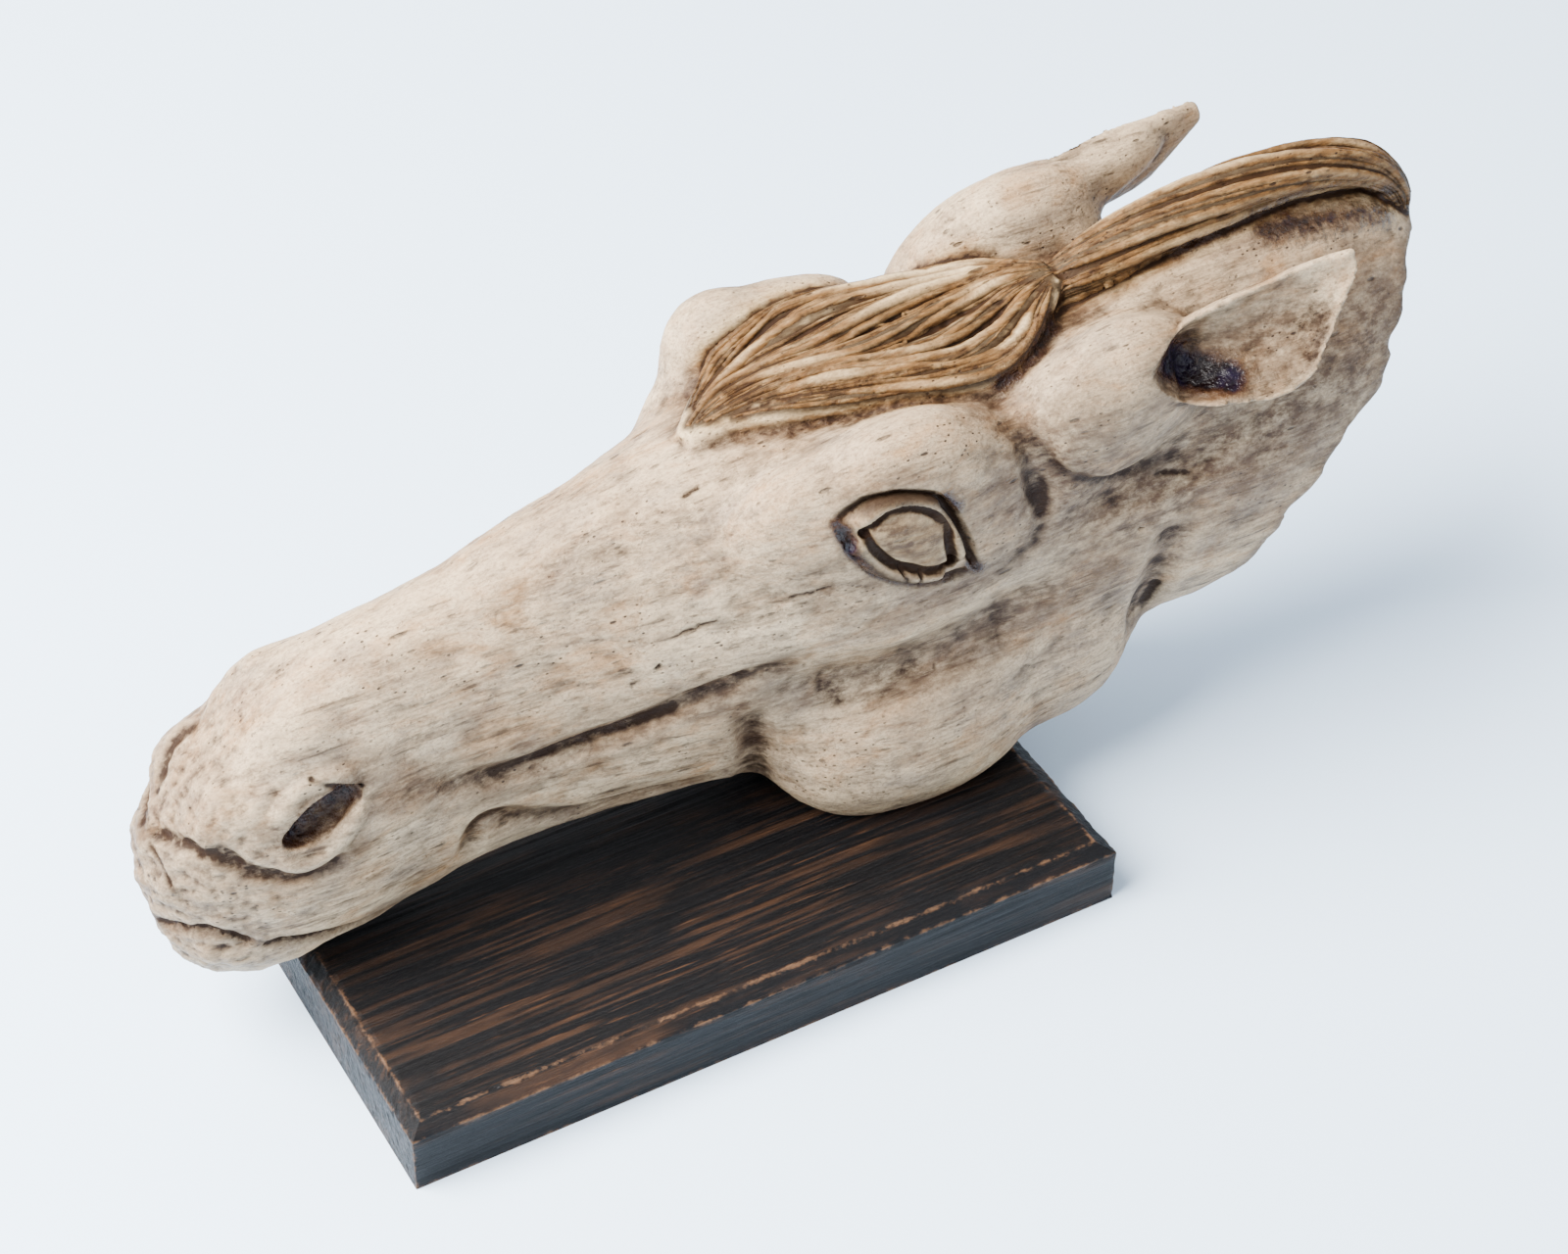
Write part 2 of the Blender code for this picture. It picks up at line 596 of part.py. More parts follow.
def make_board():
    """The wooden board with its bevelled top edge."""
    long, wide = BOARD_LENGTH / 2, BOARD_WIDTH / 2
    shoulder = BOARD_HEIGHT - BOARD_BEVEL_DROP
    rings = []
    for height, inset in ((0, 0), (shoulder, 0), (BOARD_HEIGHT, BOARD_BEVEL_RUN)):
        rings.append(np.array([
            (sx * (long - inset), sy * (wide - inset), height)
            for sx, sy in ((-1, -1), (1, -1), (1, 1), (-1, 1))
        ]))
    board = add_object("plinth", mesh_of("plinth", [loft(rings)]))
    arris = board.modifiers.new("arris", "BEVEL")
    arris.width = BOARD_ARRIS
    arris.segments = 2
    board.data.materials.append(finish("stained_wood", (0.035, 0.028, 0.024), 0.5))
    return board


def main():
    """Clear the scene and build the head and its board."""
    for thing in list(bpy.data.objects):
        bpy.data.objects.remove(thing)
    make_board()
    make_head()


main()
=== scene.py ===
"""Hollow ceramic horse head that lies on its chin and cheeks on a stained wooden board.

The head's clay is worked here at a finer grain than in its solid, then glazed and stained, with shade painted
into its hollows and creases, and the board gets its brushed grain and a painted sheen. The form is drawn in
units
of a millimetre: x from the muzzle tip, y from the middle plane, z from the plane that the head lies on.
"""

import json
import logging
import math
from dataclasses import dataclass, field
from enum import Enum
from typing import Iterable, Iterator, Sequence

import bmesh
import bpy
import numpy as np
from mathutils import Matrix, noise
from mathutils.bvhtree import BVHTree

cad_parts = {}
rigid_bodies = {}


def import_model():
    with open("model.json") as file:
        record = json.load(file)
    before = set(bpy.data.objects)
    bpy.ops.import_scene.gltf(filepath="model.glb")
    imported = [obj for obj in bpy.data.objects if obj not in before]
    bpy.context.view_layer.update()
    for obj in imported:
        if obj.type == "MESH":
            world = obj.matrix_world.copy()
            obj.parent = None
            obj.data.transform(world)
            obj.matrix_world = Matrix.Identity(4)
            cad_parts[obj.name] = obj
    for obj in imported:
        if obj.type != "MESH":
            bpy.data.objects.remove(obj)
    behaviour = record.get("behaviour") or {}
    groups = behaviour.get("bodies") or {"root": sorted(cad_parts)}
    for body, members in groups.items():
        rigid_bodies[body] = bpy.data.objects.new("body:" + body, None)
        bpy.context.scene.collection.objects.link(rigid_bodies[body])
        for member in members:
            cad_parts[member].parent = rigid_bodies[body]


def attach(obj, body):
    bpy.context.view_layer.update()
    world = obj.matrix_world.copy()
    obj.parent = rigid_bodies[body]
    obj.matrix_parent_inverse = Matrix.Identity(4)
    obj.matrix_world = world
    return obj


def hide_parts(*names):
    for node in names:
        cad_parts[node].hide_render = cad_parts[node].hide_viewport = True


for startup_thing in list(bpy.data.objects):
    bpy.data.objects.remove(startup_thing)
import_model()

LOG = logging.getLogger("horse_head")
UNIT = 0.001
HEAD_PLACE = (-0.176, 0.0, 0.0253)
PIECE_FACES = 196000
SIDE_SLACK = 16.0
LUMP_POINTS = 28
LUMP_RINGS = 18
LUMP_POLE = 0.08
LOCK_POINTS = 34
SMOOTH_SHARE = 0.5

Points = Sequence[Sequence[float]]
Body = tuple[np.ndarray, list[tuple[int, ...]]]
Colour = tuple[float, float, float]


class Side(Enum):
    """Which side of the head a stroke or a lump belongs to."""

    BOTH = 0
    NEAR = -1
    FAR = 1
    AS_DRAWN = 2


class Tool(Enum):
    """The shape that a modelling tool leaves across its stroke."""

    THUMB = "round hollow"
    WIRE = "sharp groove"


class Reach(Enum):
    """How a stroke finds the clay: all round its path, or straight in from the side.

    The value holds the axes that its distance is measured along.
    """

    ROUND = (0, 1, 2)
    SIDEWAYS = (0, 2)


def smooth_value(points: Points, at: np.ndarray) -> np.ndarray:
    """Read a monotone curve.

    Args:
        points: Pairs of place and value, in order of place.
        at: Places to read the curve at.

    Returns:
        The curve's value at each place.
    """
    x, y = (np.array(column, dtype=float) for column in zip(*points))
    step, rise = np.diff(x), np.diff(y)
    slope = rise / step
    turn = slope[:-1] * slope[1:]
    inner = np.where(turn > 0, 2 * turn / np.where(turn > 0, slope[:-1] + slope[1:], 1), 0)
    tangent = np.concatenate(([slope[0]], inner, [slope[-1]]))
    span = np.clip(np.searchsorted(x, at, side="right") - 1, 0, len(x) - 2)
    t = np.clip((at - x[span]) / step[span], 0, 1)
    start, end = tangent[span] * step[span], tangent[span + 1] * step[span]
    return (
        y[span] + t * start + t**2 * (3 * rise[span] - 2 * start - end)
        + t**3 * (start + end - 2 * rise[span])
    )


def smooth_path(points: Points, count: int) -> np.ndarray:
    """Share points along the smooth curve through some given ones.

    Args:
        points: Points that the curve passes through.
        count: How many points to return.

    Returns:
        One row for each point.
    """
    given = np.array(points, dtype=float)
    ends = np.vstack((2 * given[0] - given[1], given, 2 * given[-1] - given[-2]))
    t = np.linspace(0, len(given) - 1, count)
    span = np.minimum(t.astype(int), len(given) - 2)
    t = (t - span)[:, None]
    before, start, end, after = (ends[span + i] for i in range(4))
    return 0.5 * (
        2 * start + (end - before) * t + (2 * before - 5 * start + 4 * end - after) * t**2
        + (3 * start - before - 3 * end + after) * t**3
    )


def noise_at(places: np.ndarray, scale: Sequence[float], seed: float, octaves: int = 3) -> np.ndarray:
    """Read smooth noise at places in drawn units.

    Args:
        places: One row for each place.
        scale: Size of the pattern along each axis, in drawn units.
        seed: Shift that picks the pattern.
        octaves: How many finer layers are added.

    Returns:
        Values from about -1 to 1.
    """
    scaled = places / np.array(scale) + seed
    return np.array([noise.fractal(p, 0.9, 2.1, octaves) for p in scaled.tolist()])


@dataclass(frozen=True)
class Wave:
    """One layer of smooth unevenness, in drawn units."""

    height: float
    scale: tuple[float, float, float]
    seed: float
    octaves: int = 3


def waves_at(places: np.ndarray, waves: Sequence[Wave]) -> np.ndarray:
    """Return how high some layers of unevenness stand together at places."""
    return sum(wave.height * noise_at(places, wave.scale, wave.seed, wave.octaves) for wave in waves)


def loft(rings: Sequence[np.ndarray]) -> Body:
    """Join a row of rings to one closed body.

    Args:
        rings: Rings with as many points each.

    Returns:
        The body's vertices and faces.
    """
    count = len(rings[0])
    faces = []
    for row in range(len(rings) - 1):
        for i in range(count):
            a, b = row * count + i, row * count + (i + 1) % count
            faces.append((a, b, b + count, a + count))
    faces.append(tuple(range(count)))
    last = (len(rings) - 1) * count
    faces.append(tuple(last + i for i in reversed(range(count))))
    return np.vstack(rings), faces


def tube(path: np.ndarray, radii: np.ndarray, points: int = 12) -> Body:
    """Lay a round bar of clay along a path.

    Args:
        path: Points of the bar's middle line.
        radii: The bar's radius at each point.
        points: Points of each ring.

    Returns:
        The bar's vertices and faces.
    """
    tangent = np.gradient(path, axis=0)
    tangent /= np.linalg.norm(tangent, axis=1)[:, None]
    across = np.cross(tangent, (0.0, 0.0, 1.0))
    across /= np.linalg.norm(across, axis=1)[:, None]
    above = np.cross(across, tangent)
    turn = np.linspace(0, 2 * math.pi, points, endpoint=False)
    return loft([
        path[i] + radii[i] * (np.outer(np.cos(turn), across[i]) + np.outer(np.sin(turn), above[i]))
        for i in range(len(path))
    ])


def distance_to_path(places: np.ndarray, path: np.ndarray) -> tuple[np.ndarray, np.ndarray]:
    """Measure how far places are from a path of straight runs.

    Args:
        places: One row for each place.
        path: Points of the path, with as many axes as the places.

    Returns:
        Each place's distance to the nearest point of the path, and how far that point is from the
        nearer end of the path.
    """
    nearest, along = np.full(len(places), np.inf), np.zeros(len(places))
    lengths = np.concatenate(([0.0], np.cumsum(np.linalg.norm(np.diff(path, axis=0), axis=1))))
    for start, end, done in zip(path[:-1], path[1:], lengths):
        run = end - start
        share = np.clip((places - start) @ run / max(run @ run, 1e-9), 0, 1)
        distance = np.linalg.norm(places - start - share[:, None] * run, axis=1)
        closer = distance < nearest
        nearest[closer] = distance[closer]
        along[closer] = done + share[closer] * np.linalg.norm(run)
    return nearest, np.minimum(along, lengths[-1] - along)


def distance_to_body(places: np.ndarray, clay: "Clay", reach: float) -> np.ndarray:
    """Measure how far places are from the surface of a body.

    Args:
        places: One row for each place.
        clay: The body.
        reach: The distance beyond which nothing is measured.

    Returns:
        Each place's distance, at most the reach.
    """
    corners = clay.places()
    tree = BVHTree.FromPolygons(corners.tolist(), clay.faces())
    result = np.full(len(places), reach)
    low, high = corners.min(axis=0) - reach, corners.max(axis=0) + reach
    for i in np.nonzero(((places > low) & (places < high)).all(axis=1))[0]:
        distance = tree.find_nearest(places[i], reach)[3]
        if distance is not None:
            result[i] = distance
    return result


@dataclass(frozen=True)
class Lump:
    """An ellipsoid of clay that is worked into the head, tipped up by pitch at its rear."""

    centre: tuple[float, float, float]
    radii: tuple[float, float, float]
    pitch: float = 0.0

    def body(self, side: int = 1, lift: float = 0.0) -> Body:
        """Make the lump's closed body.

        Args:
            side: 1 for the far side, -1 for the near one.
            lift: How much higher it stands than drawn.

        Returns:
            The lump's vertices and faces.
        """
        turn = np.linspace(0, 2 * math.pi, LUMP_POINTS, endpoint=False)
        cosine, sine = math.cos(math.radians(self.pitch)), math.sin(math.radians(self.pitch))
        rings = []
        for place in np.linspace(LUMP_POLE, math.pi - LUMP_POLE, LUMP_RINGS):
            x = np.full(LUMP_POINTS, -self.radii[0] * math.cos(place))
            y = self.radii[1] * math.sin(place) * np.cos(turn)
            z = self.radii[2] * math.sin(place) * np.sin(turn)
            rings.append(np.column_stack((
                self.centre[0] + x * cosine - z * sine,
                side * self.centre[1] + y,
                self.centre[2] + lift + x * sine + z * cosine,
            )))
        return loft(rings)


@dataclass(frozen=True)
class Stroke:
    """A stroke of a modelling tool along a path, raised where height is positive."""

    path: Points
    radius: float
    height: float
    tool: Tool = Tool.THUMB
    side: Side = Side.BOTH
    reach: Reach = Reach.ROUND
    taper: float = 0.0

    def weight(self, places: np.ndarray) -> tuple[np.ndarray, np.ndarray]:
        """Say how strongly the stroke works at each place.

        Args:
            places: The clay's points, in drawn units.

        Returns:
            The numbers of the places within reach, and the stroke's weight at each of them.
        """
        path = smooth_path(self.path, max(4 * len(self.path), 8))
        points, fits = places, np.ones(len(places), dtype=bool)
        if self.side is not Side.AS_DRAWN:
            points = np.column_stack((places[:, 0], np.abs(places[:, 1]), places[:, 2]))
        if self.side in (Side.NEAR, Side.FAR):
            fits = places[:, 1] * self.side.value > -1.0
        axes = self.reach.value
        for axis in range(3):
            reach = self.radius + (0.0 if axis in axes else SIDE_SLACK)
            fits &= points[:, axis] > path[:, axis].min() - reach
            fits &= points[:, axis] < path[:, axis].max() + reach
        near = np.nonzero(fits)[0]
        if not len(near):
            return near, np.zeros(0)
        distance, from_end = distance_to_path(points[near][:, axes], path[:, axes])
        if self.tool is Tool.THUMB:
            weight = np.clip(1 - (distance / self.radius) ** 2, 0, 1) ** 2
        else:
            weight = np.clip(1 - distance / self.radius, 0, 1)
        if self.taper:
            weight = weight * np.clip(from_end / self.taper, 0.1, 1)
        return near, weight


class Clay:
    """A body of clay whose surface tools press and raise."""

    def __init__(self, name: str, bodies: Iterable[Body]) -> None:
        """Make one mesh from several closed bodies.

        Args:
            name: Name of the object.
            bodies: Vertices and faces of each body.
        """
        vertices, faces, start = [], [], 0
        for body_vertices, body_faces in bodies:
            vertices.append(body_vertices)
            faces += [tuple(start + i for i in face) for face in body_faces]
            start += len(body_vertices)
        mesh = bpy.data.meshes.new(name)
        mesh.from_pydata(np.vstack(vertices).tolist(), [], faces)
        shape = bmesh.new()
        shape.from_mesh(mesh)
        bmesh.ops.recalc_face_normals(shape, faces=shape.faces)
        shape.to_mesh(mesh)
        shape.free()
        self.thing = bpy.data.objects.new(name, mesh)
        bpy.context.scene.collection.objects.link(self.thing)

    def apply(self) -> None:
        """Put the evaluated mesh in the place of the object's own and take its modifiers off."""
        graph = bpy.context.evaluated_depsgraph_get()
        mesh = bpy.data.meshes.new_from_object(self.thing.evaluated_get(graph))
        self.thing.modifiers.clear()
        self.thing.data = mesh

    def places(self) -> np.ndarray:
        """Return the clay's points, one row each."""
        flat = np.empty(len(self.thing.data.vertices) * 3, dtype=np.float32)
        self.thing.data.vertices.foreach_get("co", flat)
        return flat.reshape(-1, 3).astype(float)

    def faces(self) -> list[tuple[int, ...]]:
        """Return the clay's faces, each as the numbers of its points."""
        return [tuple(face.vertices) for face in self.thing.data.polygons]

    def move_to(self, places: np.ndarray) -> None:
        """Move the clay's points to new places."""
        self.thing.data.vertices.foreach_set("co", places.astype(np.float32).ravel())
        self.thing.data.update()

    def normals(self) -> np.ndarray:
        """Return the direction that each of the clay's points faces."""
        flat = np.empty(len(self.thing.data.vertices) * 3, dtype=np.float32)
        self.thing.data.vertex_normals.foreach_get("vector", flat)
        return flat.reshape(-1, 3).astype(float)

    def even_out(self, voxel: float, smoothing: int) -> None:
        """Give the clay one even skin.

        Args:
            voxel: Size of the skin's grain in drawn units.
            smoothing: How many times the skin is smoothed.
        """
        remesh = self.thing.modifiers.new("skin", "REMESH")
        remesh.mode = "VOXEL"
        remesh.voxel_size = voxel
        self.apply()
        self.smooth(smoothing)

    def smooth(self, times: int) -> None:
        """Smooth the whole surface a number of times.

        Args:
            times: How many times it is smoothed.
        """
        if times:
            modifier = self.thing.modifiers.new("smooth", "SMOOTH")
            modifier.factor = SMOOTH_SHARE
            modifier.iterations = times
            self.apply()

    def work(self, strokes: Iterable[Stroke]) -> None:
        """Press and raise the surface with strokes, in turn.

        Args:
            strokes: The strokes, broad ones first.
        """
        for stroke in strokes:
            places, facing = self.places(), self.normals()
            near, weight = stroke.weight(places)
            if len(near):
                places[near] += facing[near] * (stroke.height * weight)[:, None]
                self.move_to(places)

    def refine(self, centre: Sequence[float], radius: float) -> None:
        """Give a region on both sides of the head a finer grain.

        Args:
            centre: Middle of the region on the far side.
            radius: How far the region reaches.
        """
        shape = bmesh.new()
        shape.from_mesh(self.thing.data)
        places = np.array([v.co for v in shape.verts])
        folded = np.column_stack((places[:, 0], np.abs(places[:, 1]), places[:, 2]))
        near = np.linalg.norm(folded - np.array(centre), axis=1) < radius
        shape.verts.ensure_lookup_table()
        edges = [e for e in shape.edges if near[e.verts[0].index] and near[e.verts[1].index]]
        bmesh.ops.subdivide_edges(shape, edges=edges, cuts=1, use_grid_fill=True)
        shape.to_mesh(self.thing.data)
        shape.free()
        self.thing.data.update()

    def take_away(self, name: str, body: Body) -> None:
        """Cut a closed body out of the clay.

        Args:
            name: Name of the cut.
            body: The vertices and faces of what is taken away.
        """
        cutter = Clay(name, [body])
        modifier = self.thing.modifiers.new(name, "BOOLEAN")
        modifier.operation = "DIFFERENCE"
        modifier.solver = "MANIFOLD"
        modifier.object = cutter.thing
        self.apply()
        bpy.data.objects.remove(cutter.thing)

    def thin_out(self, faces: int) -> None:
        """Bring the mesh down to a number of triangles, most of them where the surface bends.

        Args:
            faces: The number of triangles that are kept at most.
        """
        count = sum(len(face.vertices) - 2 for face in self.thing.data.polygons)
        if count > faces:
            modifier = self.thing.modifiers.new("thin", "DECIMATE")
            modifier.ratio = faces / count
            self.apply()

    def neighbours_mean(self, values: np.ndarray, times: int, kept: float = 0.3) -> np.ndarray:
        """Spread values over neighbouring points.

        Args:
            values: A row of numbers for each point.
            times: How many times they are spread.
            kept: The share of a point's own value that stays each time.

        Returns:
            The spread values.
        """
        edges = np.empty(len(self.thing.data.edges) * 2, dtype=np.int32)
        self.thing.data.edges.foreach_get("vertices", edges)
        first, second = edges[0::2], edges[1::2]
        size = len(self.thing.data.vertices)
        joined = np.bincount(first, minlength=size) + np.bincount(second, minlength=size)
        share = 1.0 / np.maximum(joined, 1)
        result = values.astype(float)
        for _ in range(times):
            total = np.column_stack([
                np.bincount(first, result[second, axis], size)
                + np.bincount(second, result[first, axis], size)
                for axis in range(result.shape[1])
            ])
            result = kept * result + (1 - kept) * total * share[:, None]
        return result

    def store(self, name: str, values: np.ndarray) -> None:
        """Keep one number for each point under a name that a finish can read."""
        layer = self.thing.data.attributes.new(name, "FLOAT", "POINT")
        layer.data.foreach_set("value", values.astype(np.float32))


@dataclass
class HeadForm:
    """Outlines of the head and neck, each as pairs of distance from the muzzle tip and value."""

    top: Points = (
        (0, 60), (4, 70), (11, 79), (21, 89), (36, 103), (51, 114), (64, 120), (81, 124), (99, 127),
        (133, 136), (169, 145), (196, 150), (226, 151), (276, 151), (306, 155), (326, 160), (366, 168),
        (411, 171), (451, 163), (476, 145), (500, 112),
    )
    bottom: Points = (
        (0, 54), (2, 34), (5, 20), (14, 8), (30, 0), (51, 0), (66, 2), (81, 6), (101, 11), (136, 13),
        (176, 12), (206, 10), (236, 10), (276, 12), (316, 18), (346, 24), (376, 22), (500, 10),
    )
    middle: Points = (
        (0, 60), (26, 62), (51, 68), (86, 73), (136, 80), (176, 87), (216, 98), (251, 108),
        (286, 104), (326, 90), (376, 85), (426, 92), (500, 112),
    )
    half_width: Points = (
        (0, 8), (5, 15), (14, 22), (31, 28), (48, 31), (66, 31), (86, 28), (116, 27), (146, 30),
        (176, 35), (206, 41), (231, 46), (256, 49), (276, 48), (296, 46), (326, 45), (376, 47),
        (416, 46), (446, 39), (476, 28), (500, 20),
    )
    upper_square: Points = (
        (0, 1.8), (60, 1.8), (120, 2.0), (190, 2.4), (240, 2.9), (290, 2.6), (345, 1.9), (500, 1.6),
    )
    lower_square: Points = ((0, 2.0), (50, 2.2), (100, 2.3), (190, 2.3), (300, 2.4), (500, 2.2))
    ring_points: int = 72
    wall: float = 9.0
    hollow_start: float = 225.0
    hollow_cap: float = 26.0
    torn_x: float = 344.0
    torn_lean: float = 0.85
    torn_waves: Points = ((3.0, 5, 0.4), (1.7, 11, 2.1), (1.2, 23, 4.0))
    torn_middle: float = 95.0
    torn_half_width: float = 90.0
    torn_heights: tuple[float, float] = (-40.0, 230.0)
    torn_reach: float = 160.0
    torn_steps: int = 200
    torn_crumb: tuple[Wave, ...] = (Wave(1.3, (9, 9, 9), 3.0), Wave(0.5, (2.5, 2.5, 2.5), 8.0, 2))
    thumb_waves: tuple[Wave, ...] = (Wave(1.0, (26, 17, 17), 4.0), Wave(0.4, (7, 5, 5), 9.0))
    thumb_depth: float = 1.6

    def section(self, x: float, inset: float = 0.0) -> np.ndarray:
        """Draw one closed ring of the head across x.

        Args:
            x: Distance from the muzzle tip.
            inset: How far the ring is drawn in.

        Returns:
            The ring's points.
        """
        lines = (self.top, self.bottom, self.middle, self.half_width, self.upper_square)
        top, bottom, middle, half, up, down = (
            smooth_value(line, np.array([x]))[0] for line in (*lines, self.lower_square)
        )
        turn = np.linspace(0, 2 * math.pi, self.ring_points, endpoint=False)
        across, upward = np.cos(turn), np.sin(turn)
        exponent = np.where(upward > 0, up, down)
        height = np.where(upward > 0, top - middle, middle - bottom) - inset
        y = (half - inset) * np.sign(across) * np.abs(across) ** (2 / exponent)
        z = middle + height * np.sign(upward) * np.abs(upward) ** (2 / exponent)
        return np.column_stack((np.full(self.ring_points, float(x)), y, z))

    def skull(self) -> Body:
        """Make the head and neck without lumps and strokes."""
        end = self.top[-1][0] - 5
        places = end * (1 - np.cos(np.linspace(0.02, math.pi / 2, 90)))
        places = np.unique(np.clip(np.concatenate((places, np.arange(60, end, 6))), 0.05, end))
        return loft([self.section(x) for x in places])

    def hollow(self) -> Body:
        """Make the space inside the head, open past the torn end of the neck."""
        rings = []
        for turn in np.linspace(0.15, 1, 8) * math.pi / 2:
            ring = self.section(self.hollow_start + self.hollow_cap * (1 - math.cos(turn)), self.wall)
            centre = ring.mean(axis=0)
            rings.append(centre + (ring - centre) * np.array([1, math.sin(turn), math.sin(turn)]))
        rows = np.arange(self.hollow_start + self.hollow_cap + 4, self.top[-1][0] - 4, 3.0)
        rings += [self.section(x, self.wall) for x in rows]
        vertices, faces = loft(rings)
        outward = vertices - np.column_stack((
            vertices[:, 0], np.zeros(len(vertices)), smooth_value(self.middle, vertices[:, 0])
        ))
        outward /= np.maximum(np.linalg.norm(outward, axis=1), 1e-6)[:, None]
        return vertices + outward * (self.thumb_depth * waves_at(vertices, self.thumb_waves))[:, None], faces

    def torn_surface(self, across: np.ndarray, upward: np.ndarray) -> np.ndarray:
        """Say where along the neck the clay is torn.

        Args:
            across: Distances from the middle plane.
            upward: Heights above the resting plane.

        Returns:
            The x of the torn surface at each place.
        """
        turn = np.arctan2(upward - self.torn_middle, across)
        wave = sum(size * np.sin(count * turn + start) for size, count, start in self.torn_waves)
        return self.torn_x + self.torn_lean * upward + wave

    def torn_block(self) -> Body:
        """Make the block whose rough face tears the neck off."""
        half, steps = self.torn_half_width, self.torn_steps
        across, upward = np.meshgrid(
            np.linspace(-half, half, steps), np.linspace(*self.torn_heights, steps)
        )
        flat = np.column_stack((0 * across.ravel(), across.ravel(), upward.ravel()))
        front = flat.copy()
        front[:, 0] = self.torn_surface(across, upward).ravel() + waves_at(flat, self.torn_crumb)
        back = front + np.array([self.torn_reach, 0, 0])
        total = steps * steps
        grid = np.arange(total).reshape(steps, steps)
        a, b = grid[:-1, :-1].ravel(), grid[:-1, 1:].ravel()
        c, d = grid[1:, 1:].ravel(), grid[1:, :-1].ravel()
        faces = list(zip(a.tolist(), b.tolist(), c.tolist(), d.tolist()))
        faces += [tuple(total + corner for corner in reversed(face)) for face in faces]
        rim = np.concatenate((grid[0, :], grid[1:, -1], grid[-1, -2::-1], grid[-2:0:-1, 0])).tolist()
        for first, second in zip(rim, rim[1:] + rim[:1]):
            faces.append((second, first, first + total, second + total))
        return np.vstack((front, back)), faces


@dataclass
class Ear:
    """A cupped ear laid back along the neck, between an upper and a lower rim."""

    side: int
    upper_rim: Points = (
        (343, 42, 151), (347, 41, 160), (355, 41, 166), (366, 42, 169), (382, 43, 172), (399, 44, 175),
        (414, 47, 177),
    )
    lower_rim: Points = (
        (344, 45, 147), (347, 51, 142), (354, 55, 141), (365, 58, 140), (379, 59, 138), (395, 58, 142),
        (415, 49, 171),
    )
    depth: Points = ((0.0, 1.0), (0.07, 7.0), (0.28, 16.0), (0.6, 10.0), (1.0, 1.0))
    mouth: float = 30.0
    thickness: Points = ((0.0, 14.0), (0.3, 9.0), (1.0, 5.0))
    rim_share: float = 0.6
    far_lift: float = 17.0
    far_fall: float = 0.8
    bowl: float = 0.8
    root: Lump = Lump((326, 34, 138), (43, 18, 28), 18.0)
    rows: int = 40
    columns: int = 24

    def lift(self, share: np.ndarray) -> np.ndarray:
        """Return how much higher this ear stands than the near one, along its length."""
        return self.far_lift * max(self.side, 0) * (1 - self.far_fall * share**2)

    def surfaces(self) -> Iterator[tuple[np.ndarray, np.ndarray, np.ndarray, float]]:
        """Go along the ear.

        Returns:
            For each ring its rim line, the cup's surface below it, the way out of the cup and the
            ear's thickness.
        """
        upper, lower = smooth_path(self.upper_rim, self.rows), smooth_path(self.lower_rim, self.rows)
        along = np.gradient((upper + lower) / 2, axis=0)
        outward = np.cross(along, lower - upper)
        outward /= np.linalg.norm(outward, axis=1)[:, None]
        share = np.linspace(0, 1, self.rows)
        depth, thickness = smooth_value(self.depth, share), smooth_value(self.thickness, share)
        across = np.linspace(0, 1, self.columns)[:, None]
        bowl = np.sin(math.pi * across) ** self.bowl
        for i in range(self.rows):
            line = upper[i] + (lower[i] - upper[i]) * across
            yield line, line - outward[i] * depth[i] * bowl, outward[i], thickness[i]

    def turned(self, rings: Sequence[np.ndarray]) -> Body:
        """Bring rings drawn for the near ear to this ear's side and height.

        Args:
            rings: The rings, as drawn for the near ear.

        Returns:
            The body that they make.
        """
        lift = self.lift(np.linspace(0, 1, self.rows))
        return loft([
            ring * np.array([1, self.side, 1]) + np.array([0, 0, lift[i]]) for i, ring in enumerate(rings)
        ])

    def cup(self) -> Body:
        """Make the ear's cup with its wall."""
        rings = []
        bowl = np.sin(math.pi * np.linspace(0, 1, self.columns)[:, None]) ** self.bowl
        for _, front, outward, thickness in self.surfaces():
            back = front - outward * thickness * (self.rim_share + (1 - self.rim_share) * bowl)
            rings.append(np.vstack((front, back[::-1])))
        return self.turned(rings)

    def mouth_space(self) -> Body:
        """Make the space in the cup, which is taken out of the clay round it."""
        rings = []
        for line, front, outward, _ in self.surfaces():
            rings.append(np.vstack((line + outward * self.mouth, front[::-1] + outward * 0.02)))
        return self.turned(rings)

    def root_body(self) -> Body:
        """Make the root that carries the ear."""
        return self.root.body(self.side, float(self.lift(np.array([0.0]))[0]))


